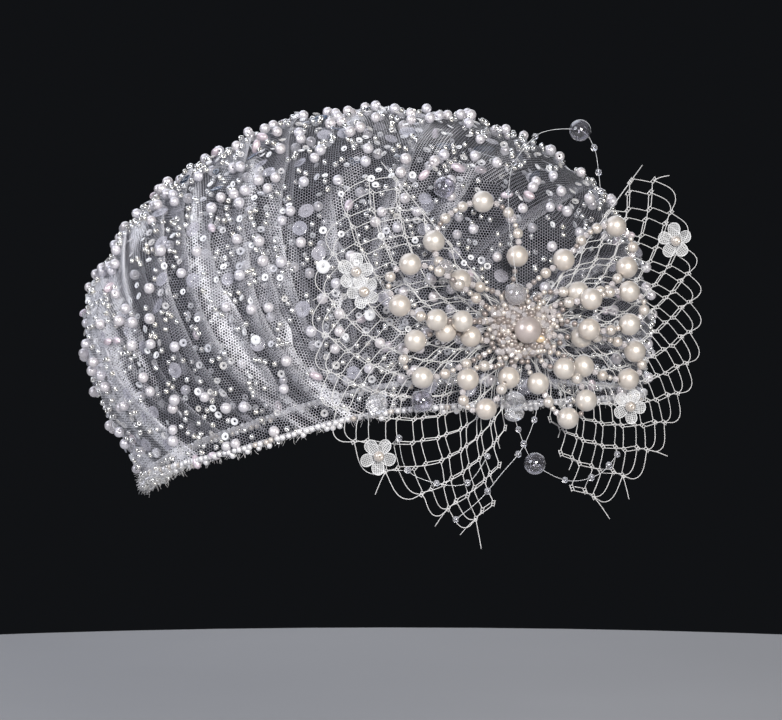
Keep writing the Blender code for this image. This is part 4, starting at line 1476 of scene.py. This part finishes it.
def sew_beads(cap, pleats):
    """Pearls, sequins and seed beads all over the cloth, as a few joined pieces."""
    sewer = Sewer(cap, pleats)
    pearls, sequins, seeds = (Pile(name) for name in ("cap_pearls", "cap_sequins", "cap_seeds"))
    for shape, finish, count, height, radius, small, big, flat, facing_up in SEWN:
        for _ in range(count):
            size = rng.uniform(small, big)
            found = sewer.find(height * size * MM, radius * size * MM, facing_up)
            if found is None:
                continue
            middle, normal = found
            if flat:
                axis = normal + tangent(normal) * rng.uniform(0, FLAT_LEAN)
            else:
                axis = tangent(normal) + normal * rng.uniform(*BEAD_LEAN)
            (sequins if flat else pearls).add(shape, finish, middle, axis.normalized(), size)
    sew_seeds(sewer, seeds)
    for x, z, size in DISCS:
        hit = seen(sewer.tree, x * MM, z * MM)
        if hit:
            sequins.add("disc", "white_ring", hit + TO_VIEWER * DISC_OFF, TO_VIEWER, size)
    return [pile.make() for pile in (pearls, sequins, seeds)]


def make_fibres(cap):
    """Frayed threads of the cloth's raw edge, with seed beads caught in the tuft."""
    pile = Pile("frayed_edge")
    lines = []
    for _ in range(FIBRES):
        azimuth = rng.uniform(0, 2 * math.pi)
        if rng.random() < FIBRES_IN_TUFT:
            azimuth = math.radians(rng.gauss(TUFT_AZIMUTH, FIBRES_SPREAD))
        tuft = tuft_share(azimuth)
        out = outward(azimuth)

        def amount(least, most, tufted):
            return rng.uniform(least, most + tufted * tuft) * MM

        start = cap.rim_at(azimuth) + out * amount(*FIBRE_OUT)
        start -= UP * amount(*FIBRE_DOWN)
        lean = jitter(1) + out * FIBRE_LEAN[0] - UP * FIBRE_LEAN[1]
        end = start + lean.normalized() * amount(*FIBRE_LENGTH)
        bend = jitter(FIBRE_BEND) * MM
        lines.append([start, start.lerp(end, 0.5) + bend, end])
        if rng.random() < FIBRE_SEEDS[0] + FIBRE_SEEDS[1] * tuft:
            pile.add("seed", "lined_seed", start, lean.normalized(), FIBRE_SEED_SIZE)
    pile.add_arrays(tubes(lines, FIBRE_RADIUS, 0), "net_thread")
    return pile.make()


def make_hem(cap):
    """The rows of small pearls round the rim."""
    azimuths = np.linspace(-math.pi, math.pi, HEM_STEPS + 1)
    line = Line([cap.rim_at(azimuth) + outward(azimuth) * HEM_OUT for azimuth in azimuths])
    count = round(line.whole / (2 * HEM_PEARL_RADIUS))
    pile = Pile("hem_pearls")
    for row, (further, higher) in enumerate(HEM_ROWS):
        for i in range(count):
            place = line.whole * (i + 0.5 * row) / count
            spot = line.at(place)
            after = line.at(place + MM)
            out = Vector((spot.x - CAP_AXIS.x, spot.y, 0)).normalized()
            spot += (out * further + UP * higher) * MM
            spot += jitter(HEM_JITTER)
            if row and rng.random() < HEM_GAPS:
                continue
            finish = "small_ivory" if rng.random() < HEM_IVORY else "hem_pearl"
            pile.add("hem_pearl", finish, spot, (after - spot).normalized(), rng.uniform(*HEM_SIZES))
    return pile.make()


# The bow


class Bow:
    """Places points of the bow, as the source does."""

    def __init__(self, cap_tree):
        tilt = math.atan(BOW_SLOPE)
        half = math.hypot(KNOT_HALF_DEPTH * math.cos(tilt), KNOT_RADIUS * math.sin(tilt))
        self.cap = cap_tree
        self.knot = Vector((BOW_X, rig.box("bow_knot")[1][1] - half, BOW_Z))
        self.middle_y = self.knot.y + KNOT_OVER_NET

    def front(self, x, z, spread):
        """The cap's most forward Y near a place, or None beside it."""
        shifts = ((0, 0), (spread, 0), (-spread, 0), (0, spread), (0, -spread))
        found = [seen(self.cap, x + dx, z + dz) for dx, dz in shifts]
        return min((hit.y for hit in found if hit is not None), default=None)

    def place(self, across, up, off):
        x = BOW_X + across
        z = BOW_Z + up
        y = self.middle_y + BOW_SLOPE * across + BOW_CURVE * across**2
        y += BOW_LEAN * max(up, 0) ** 2
        cap_y = self.front(x, z, 5 * MM)
        if cap_y is not None:
            y = min(y, cap_y - NET_OFF_CAP)
        return Vector((x, y - off, z))


def fan_reach(rows, share):
    """Direction and reach at a share of the way through a fan's table."""
    place = min(max(share, 0), 1) * (len(rows) - 1)
    low = min(int(place), len(rows) - 2)
    part = place - low
    return [rows[low][k] + (rows[low + 1][k] - rows[low][k]) * part for k in (0, 1)]


def rounded(points, per_span):
    """A smooth line through points."""
    line = []
    last = len(points) - 1
    for i in range(last):
        a, b, c, d = points[max(i - 1, 0)], points[i], points[i + 1], points[min(i + 2, last)]
        for k in range(per_span):
            t = k / per_span
            bend = 2 * a - 5 * b + 4 * c - d
            line.append(0.5 * (2 * b + (c - a) * t + bend * t**2 + (3 * b - a - 3 * c + d) * t**3))
    line.append(points[-1].copy())
    return line


class Fan:
    """One gathered fan of netting."""

    def __init__(self, name, bow, beads):
        self.rows = FANS[name]
        self.name = name
        self.bow = bow
        self.beads = beads
        self.pile = Pile("birdcage_" + name)
        self.lines = []

    def spot(self, share, out, reach, off, beside=0.0):
        """A point at a share across the fan and a share of its reach. beside is in metres."""
        direction, length = fan_reach(self.rows, share)
        turn = 1 if self.rows[-1][0] > self.rows[0][0] else -1
        angle = math.radians(direction)
        radius = length * MM * out * reach
        ripple = NET_RIPPLE * out * math.sin(2 * math.pi * share * NET_RIPPLES)
        across = radius * math.cos(angle) - beside * turn * math.sin(angle)
        up = radius * math.sin(angle) + beside * turn * math.cos(angle)
        return self.over_beads(self.bow.place(across, up, NET_RIPPLE + ripple + off))

    def over_beads(self, spot):
        """Lifts a point in front of any bead that it would pass through."""
        hit = seen(self.beads, spot.x, spot.z)
        if hit is not None and hit.y < spot.y + NET_LEAST_GAP:
            spot.y = max(spot.y - NET_MOST_LIFT, hit.y - NET_LIFT_OFF * STRAND_RADIUS)
        return spot

    def add_layer(self, shift, reach, off):
        """One layer of netting. Its strands are straight from knot to knot and lie side by side there."""
        off = off * MM
        middle = fan_reach(self.rows, 0.5)[1] * MM * reach
        half = KNOT_HALF_LENGTH / middle
        for column in range(-1, NET_COLUMNS + 2):
            for side in (-1, 1):
                stops = []
                for row, out in enumerate(NET_ROWS):
                    share = (column + (side * 0.5 if row % 2 else 0) + shift) / NET_COLUMNS
                    beside = side * KNOT_STEP * (-1 if row % 2 else 1) * min(1, out * KNOT_GROWS)
                    stops.append((share, out - half * (1 if row else FIRST_KNOT), beside))
                    stops.append((share, out + half, beside))
                self.add_strand(stops, reach, off)
            for row, out in enumerate(NET_ROWS[1:], 1):
                share = (column + (0.5 if row % 2 else 0) + shift) / NET_COLUMNS
                if 0 <= share <= 1:
                    width = KNOT_STEP * min(1, out * KNOT_GROWS)
                    for step in RUNGS:
                        along = out + step * half
                        self.lines.append([self.spot(share, along, reach, off, w) for w in (-width, width)])
        self.lines.append([self.spot(0, out, reach, off) for out in NET_ROWS])
        self.add_scallops(shift, reach, off)

    def add_strand(self, stops, reach, off):
        """A strand through its stops, cut where it leaves the fan."""
        places = []
        for a, b in zip(stops, stops[1:]):
            steps = max(1, round((b[1] - a[1]) * NET_STEPS))
            places += [[p + (q - p) * k / steps for p, q in zip(a, b)] for k in range(steps)]
        places.append(stops[-1])
        for inside, run in itertools.groupby(places, lambda place: 0 <= place[0] <= 1):
            line = [self.spot(share, out, reach, off, beside) for share, out, beside in run if inside]
            if len(line) > 1:
                self.lines.append(line)

    def add_scallops(self, shift, reach, off):
        """Rounded loops of thread along the outer edge."""
        at = shift + (0.5 if len(NET_ROWS) % 2 == 0 else 0)
        while at + 1 <= NET_COLUMNS:
            points = []
            for k in range(SCALLOP_STEPS + 1):
                t = k / SCALLOP_STEPS
                share = (at + t) / NET_COLUMNS
                length = fan_reach(self.rows, share)[1] * MM * reach
                bulge = SCALLOP * math.sin(math.pi * t**SCALLOP_LEAN) ** SCALLOP_ROUND / length
                points.append(self.spot(share, NET_ROWS[-1] + bulge, reach, off))
            self.lines.append(rounded(points, 2))
            at += 1

    def add_cut_ends(self):
        """A few loose ends of thread past the edge."""
        for share, length, turn in CUT_ENDS[self.name]:
            share = (round(share * NET_COLUMNS - 0.5) + 0.5) / NET_COLUMNS
            start = self.spot(share, NET_ROWS[-1], 1.0, CUT_END_OFF)
            direction = math.radians(fan_reach(self.rows, share)[0] + turn)
            lean = Vector((math.cos(direction), CUT_END_BACK, math.sin(direction)))
            end = start + lean * length * MM
            self.lines.append(rounded([start, start.lerp(end, 0.5) + UP * CUT_END_BOW, end], 3))

    def make(self):
        """The fan, and the length of all its thread."""
        for shift, reach, off in NET_LAYERS:
            self.add_layer(shift, reach, off)
        self.add_cut_ends()
        self.pile.add_arrays(tubes(self.lines, STRAND_RADIUS), "net_thread")
        length = sum((b - a).length for line in self.lines for a, b in zip(line, line[1:]))
        return self.pile.make(), length


def loop_line(row, bow):
    """The middle line of one pearl loop, as the source has it."""
    _, knot_direction, direction, reach, half_width, lift, _ = row
    axis = math.radians(direction)
    points = []

    def add(along, beside, off, angle=axis):
        across = along * math.cos(angle) - beside * math.sin(angle)
        up = along * math.sin(angle) + beside * math.cos(angle)
        points.append(bow.place(across, up, off))

    start = KNOT_RADIUS + LEG_CLEAR
    rise = lift * MM - KNOT_OVER_NET
    leg = (
        (start, KNOT_OVER_NET),
        (start + LEG_STRAIGHT / 3, KNOT_OVER_NET),
        (start + LEG_STRAIGHT, KNOT_OVER_NET + LEG_RISE * rise),
    )
    legs = [math.radians(knot_direction + LEG_HALF_SPACING * side) for side in (-1, 1)]
    for radius, off in leg:
        add(radius, 0, off, legs[0])
    for i in range(1, LOOP_STEPS):
        turn = math.pi * (LOOP_FROM + 2 * (1 - LOOP_FROM) * i / LOOP_STEPS)
        along = reach * MM * (1 - math.cos(turn)) / 2
        beside = -half_width * MM * math.sin(turn) * math.sin(turn / 2) ** 2 / DROP_WIDEST
        add(along, beside, lift * MM)
    for radius, off in reversed(leg):
        add(radius, 0, off, legs[1])
    return rounded(points, LOOP_SMOOTH)


def string_between(pile, line, start, end, beads):
    """Strings small beads over and over between two lengths of a line, spread to fill it."""
    chosen = []
    used = 0
    while used + beads[len(chosen) % len(beads)][2] * MM <= end - start + STRING_EASE:
        chosen.append(beads[len(chosen) % len(beads)])
        used += chosen[-1][2] * MM
    if not chosen:
        return
    slack = (end - start - used) / len(chosen)
    place = start
    for shape, finish, size in chosen:
        middle = place + (size * MM + slack) / 2
        pile.add(shape, finish, line.at(middle), line.ahead(middle), rng.uniform(*STRUNG_SIZES))
        place += size * MM + slack


def make_loop(row, bow):
    """One wired loop of strung pearls."""
    points = loop_line(row, bow)
    line = Line(points)
    pile = Pile("strung_" + row[0])
    stops = [share * line.whole for share in row[-1]]
    for stop in stops:
        pile.add("large_pearl", "large_ivory", line.at(stop), line.ahead(stop), rng.uniform(*LARGE_SIZES))
    first = min(NEAR_KNOT_LENGTH, stops[0] - LARGE_PEARL)
    last = max(line.whole - NEAR_KNOT_LENGTH, stops[-1] + LARGE_PEARL)
    ends = [first, *stops, last]
    string_between(pile, line, 0, first, NEAR_KNOT)
    string_between(pile, line, last, line.whole, NEAR_KNOT)
    for i, (a, b) in enumerate(zip(ends, ends[1:])):
        low = a + (LARGE_PEARL if i else 0)
        high = b - (LARGE_PEARL if i < len(ends) - 2 else 0)
        string_between(pile, line, low, high, STRUNG if high - low > SHORT_GAP else NEAR_KNOT)
    pile.add_arrays(tubes([points], LOOP_WIRE_RADIUS), "clear_wire")
    return pile.make()


def add_knot_cover(pile, bow):
    """The knot's core, and the tiny pearls all over it."""
    core = ball(1, 20, 10, [a * b for a, b in zip(KNOT_CORE, (KNOT_RADIUS, KNOT_RADIUS, KNOT_HALF_DEPTH))])
    bmesh.ops.transform(core, matrix=Matrix.Translation(bow.knot) @ TO_FACE.to_4x4(), verts=core.verts)
    pile.add_arrays(arrays_of(core), "pink_pearl")
    plain, height, lumps, wider = KNOT_LUMPS
    golden = math.pi * (3 - math.sqrt(5))
    for i in range(KNOT_PEARLS):
        z = 1 - KNOT_COVER * (i + 0.5) / KNOT_PEARLS
        flat = math.sqrt(max(0, 1 - z**2))
        local = Vector((flat * math.cos(golden * i), flat * math.sin(golden * i), z))
        lumpy = plain + height * noise.noise(local * lumps) + wider * local.x**2
        across, up, out = local
        local = Vector((across * KNOT_RADIUS, up * KNOT_RADIUS * KNOT_OVAL, out * KNOT_HALF_DEPTH)) * lumpy
        local += jitter(KNOT_JITTER)
        if local.z > 0 and math.hypot(local.x, local.y) < CENTRE_PEARL_RADIUS * KNOT_DISH:
            continue
        axis = jitter(1).normalized()
        finish = rng.choice(KNOT_FINISHES)
        shape = "crystal" if finish == "crystal" else "tiny_pearl"
        pile.add(shape, finish, bow.knot + TO_FACE @ local, axis, rng.uniform(*KNOT_SIZES))


def add_sprays(pile, bow):
    """Short strings of tiny beads that curl out between the loops' feet."""
    for turn_share, length, lift in KNOT_SPRAYS:
        for foot in range(KNOT_FEET):
            shift = turn_share + rng.uniform(-SPRAY_JITTER, SPRAY_JITTER)
            angle = 2 * math.pi * (foot + shift) / KNOT_FEET
            curl = rng.uniform(-SPRAY_CURL, SPRAY_CURL)
            sideways = SPRAY_SIDEWAYS[0] + SPRAY_SIDEWAYS[1] * math.cos(angle) ** 2
            run = (SPRAY_LEAST + rng.uniform(*SPRAY_SHARES) * length * sideways) * MM
            points = []
            for k in range(SPRAY_STEPS + 1):
                t = k / SPRAY_STEPS
                out = KNOT_RADIUS * SPRAY_START + run * t + rng.uniform(-SPRAY_JITTER, SPRAY_JITTER) * MM
                rise = KNOT_OVER_NET + (lift * MM - KNOT_OVER_NET) * math.sin(0.5 * math.pi * t)
                bent = angle + curl * t**2
                points.append(bow.place(out * math.cos(bent), out * math.sin(bent), rise))
            line = Line(rounded(points, 4))
            string_between(pile, line, 0, line.whole, NEAR_KNOT)


def add_loose_beads(pile, bow):
    """Beads in the gaps round the knot, more of them to its two sides."""
    for _ in range(KNOT_LOOSE):
        angle = rng.uniform(0, 2 * math.pi)
        reach = LOOSE_REACH[0] + LOOSE_REACH[1] * math.cos(angle) ** 2
        out = KNOT_RADIUS * LOOSE_START + rng.uniform(0, reach) * MM
        rise = KNOT_OVER_NET + rng.uniform(*LOOSE_RISE) * MM
        axis = jitter(1).normalized()
        shape, finish, size = rng.choice(LOOSE_BEADS)
        pile.add(shape, finish, bow.place(out * math.cos(angle), out * math.sin(angle), rise), axis, size)


def make_knot(bow):
    """The knot of tiny pearls and what is stuck to it, and the centre pearl."""
    pile = Pile("knot_pearls")
    add_knot_cover(pile, bow)
    add_sprays(pile, bow)
    add_loose_beads(pile, bow)
    for across, up, off, size in KNOT_BUBBLES:
        pile.add("bubble", "milky_glass", bow.place(across * MM, up * MM, off * MM), UP, size)
    glue = ball(GLUE_RADIUS, 14, 8, GLUE_SHAPE, bow.knot + GLUE_PLACE + FACING * GLUE_OFF)
    pile.add_arrays(arrays_of(glue), "amber_glue")
    pearl = Pile("large_centre_pearl")
    off = KNOT_HALF_DEPTH - CENTRE_PEARL_SINKS + CENTRE_PEARL_RADIUS
    whole = ball(CENTRE_PEARL_RADIUS, 36, 24, middle=bow.knot + FACING * off)
    pearl.add_arrays(arrays_of(whole), "centre_pearl")
    return pile.make(), pearl.make()


def make_wire(row, bow):
    """One clear wire with its glass beads."""
    name, _, points, large, small = row
    spots = rounded([bow.place(a * MM, u * MM, off * MM) for a, u, off in points], LOOP_SMOOTH)
    line = Line(spots)
    pile = Pile(name)
    pile.add_arrays(tubes([spots], WIRE_RADIUS), "clear_wire")
    for share, shape, finish in large:
        at = share * line.whole
        pile.add(shape, finish, line.at(at), line.ahead(at))
    for share in small:
        at = share * line.whole
        pile.add("wire_seed", "glass", line.at(at), line.ahead(at), rng.uniform(*WIRE_SEED_SIZES))
    return pile.make()


def make_sewn_glass(name, shape, finish):
    """A glass bead in the place of a packed one."""
    pile = Pile("glass_" + name)
    pile.add(shape, finish, middle_of(name), SEWN_GLASS_AXIS)
    return pile.make()


def make_flower(row, bow):
    """Five cupped organza petals with a small pearl in the middle."""
    name, node, across, up, turn, size = row
    centre = middle_of(node) if node else bow.place(across * MM, up * MM, FLOWER_OFF)
    mesh, layers = cloth_mesh("edge")
    for petal in range(PETALS):
        spin = Matrix.Rotation(math.radians(turn) + 2 * math.pi * petal / PETALS, 3, "Z")
        cup = rng.uniform(*PETAL_CUPS)
        tilt = rng.uniform(*PETAL_TILTS)

        def place(u, v):
            x = 2 * u - 1
            y = 2 * v - 1
            wide = x * math.sqrt(1 - y * y / 2)
            long = y * math.sqrt(1 - x * x / 2)
            far = math.hypot(wide, long)
            width = PETAL_HALF_WIDTH * (PETAL_NARROW + (1 - PETAL_NARROW) * (long + 1) / 2)
            spot = Vector((wide * width, PETAL_MIDDLE + long * PETAL_HALF_LENGTH, 0)) * size
            spot.z = PETAL_CUP * cup * far**2 + PETAL_TILT * tilt * wide
            spot.z += PETAL_RIPPLE[0] * math.sin(PETAL_RIPPLE[1] * wide + petal)
            spot.z += PETAL_OVERLAP * petal / PETALS
            rolled = max(0.0, (far - PETAL_EDGE) / (1 - PETAL_EDGE))
            return centre + TO_FACE @ (spin @ spot) * MM, (spot.x * MM, spot.y * MM), rolled

        patch(mesh, PETAL_GRID, PETAL_GRID, place, layers)
    bmesh.ops.recalc_face_normals(mesh, faces=mesh.faces)
    petals = object_from(name, mesh, "organza_weave")
    pile = Pile(name + "_pearl")
    pile.add("small_pearl", "small_ivory", centre + FACING * FLOWER_PEARL_OFF, FACING)
    return petals, pile.make()


# Putting it together


def settle(made, replaced=(), slot=None):
    """A finished piece rides on the one body and takes the place of its nodes."""
    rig.ride(made, "root")
    if replaced:
        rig.replaces(made, *replaced)
    if slot:
        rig.slot(made, slot)
    return made


def make_studio():
    """Plain pale floor, soft lights and the camera at the photograph's angle."""
    mesh = bmesh.new()
    bmesh.ops.create_circle(mesh, cap_ends=True, segments=96, radius=FLOOR_RADIUS)
    bmesh.ops.translate(mesh, vec=(0, 0, FLOOR_Z), verts=mesh.verts)
    floor = object_from("floor", mesh, "pale_floor")
    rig.stage(floor)
    world = bpy.data.worlds.new("studio")
    world.use_nodes = True
    world.node_tree.nodes["Background"].inputs["Color"].default_value = ROOM_COLOUR
    world.node_tree.nodes["Background"].inputs["Strength"].default_value = ROOM_STRENGTH
    bpy.context.scene.world = world
    bpy.context.scene.view_settings.view_transform = "Standard"
    for name, place, size, power, colour in LAMPS:
        data = bpy.data.lights.new(name, "AREA")
        data.shape = "DISK"
        data.size = size
        data.energy = power
        data.color = colour
        lamp = in_scene(name, data)
        lamp.visible_transmission = name != "back"  # or the glass bubbles fill with it
        lamp.location = place
        lamp.rotation_euler = (LAMP_AIM - Vector(place)).to_track_quat("-Z", "Y").to_euler()
    data = bpy.data.cameras.new("camera")
    data.sensor_width = SENSOR
    data.lens = SENSOR * CAMERA_AWAY / VIEW_WIDTH
    camera = in_scene("camera", data)
    angle = math.radians(CAMERA_ELEVATION)
    back = Vector((0, -math.cos(angle), math.sin(angle)))
    camera.location = CAMERA_AIM + back * CAMERA_AWAY
    camera.rotation_euler = (-back).to_track_quat("-Z", "Y").to_euler()
    bpy.context.scene.camera = camera


def main():
    make_studio()
    cap = CapShape()
    tulle = settle(make_tulle(cap), ["cap_crown"], "beaded_tulle")
    pleats, pleat_area = make_pleats(cap)
    settle(pleats, slot="beaded_tulle")
    edge = settle(make_raw_edge(cap), slot="beaded_tulle")
    fibres = settle(make_fibres(cap), slot="beaded_tulle")
    beads = sew_beads(cap, pleats)
    for piece in beads:
        settle(piece, slot="beaded_tulle")
    hem = settle(make_hem(cap), ["hem_pearl_string"], "pearl_white")

    bow = Bow(tree_of(frame["nodes"]["cap_crown"]))
    bead_tree = tree_of(*beads)
    fans = []
    for name in FANS:
        made, length = Fan(name, bow, bead_tree).make()
        fans.append((settle(made, [name], "birdcage_net"), length))
    for row in LOOPS:
        settle(make_loop(row, bow), [row[0]], "pearl_ivory")
    knot, centre = make_knot(bow)
    settle(knot, ["bow_knot"], "bead_cluster")
    settle(centre, ["centre_pearl"], "pearl_ivory")
    for row in WIRES:
        settle(make_wire(row, bow), [row[1]] if row[1] else (), "clear_glass")
    for name, shape, finish in SEWN_GLASS:
        settle(make_sewn_glass(name, shape, finish), [name], "clear_glass")
    for row in FLOWERS:
        petals, middle = make_flower(row, bow)
        settle(petals, [row[1]] if row[1] else (), "organza")
        settle(middle, slot="pearl_ivory")

    bpy.data.objects.remove(cap.skin)
    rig.sheet(tulle, flat=(0.34, 0.30), area=0.085, held="gathered", with_pieces=[*beads, hem, fibres])
    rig.sheet(pleats, flat=(0.2, pleat_area / 0.2), held="gathered", rests_on=[tulle])
    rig.sheet(edge, flat=(0.01, 0.56), area=0.0018, held="gathered", rests_on=[tulle])
    for fan, length in fans:
        threads = length * 2 * STRAND_RADIUS * 1.5
        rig.sheet(fan, flat=(NET_CUT, threads / NET_CUT), held="gathered", rests_on=[tulle])
    boxes = {"cad": [list(c) for c in CAD_BOX], "visual": [list(c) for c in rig.bounds()]}
    with open("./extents.json", "w") as file:
        json.dump(boxes, file)


main()
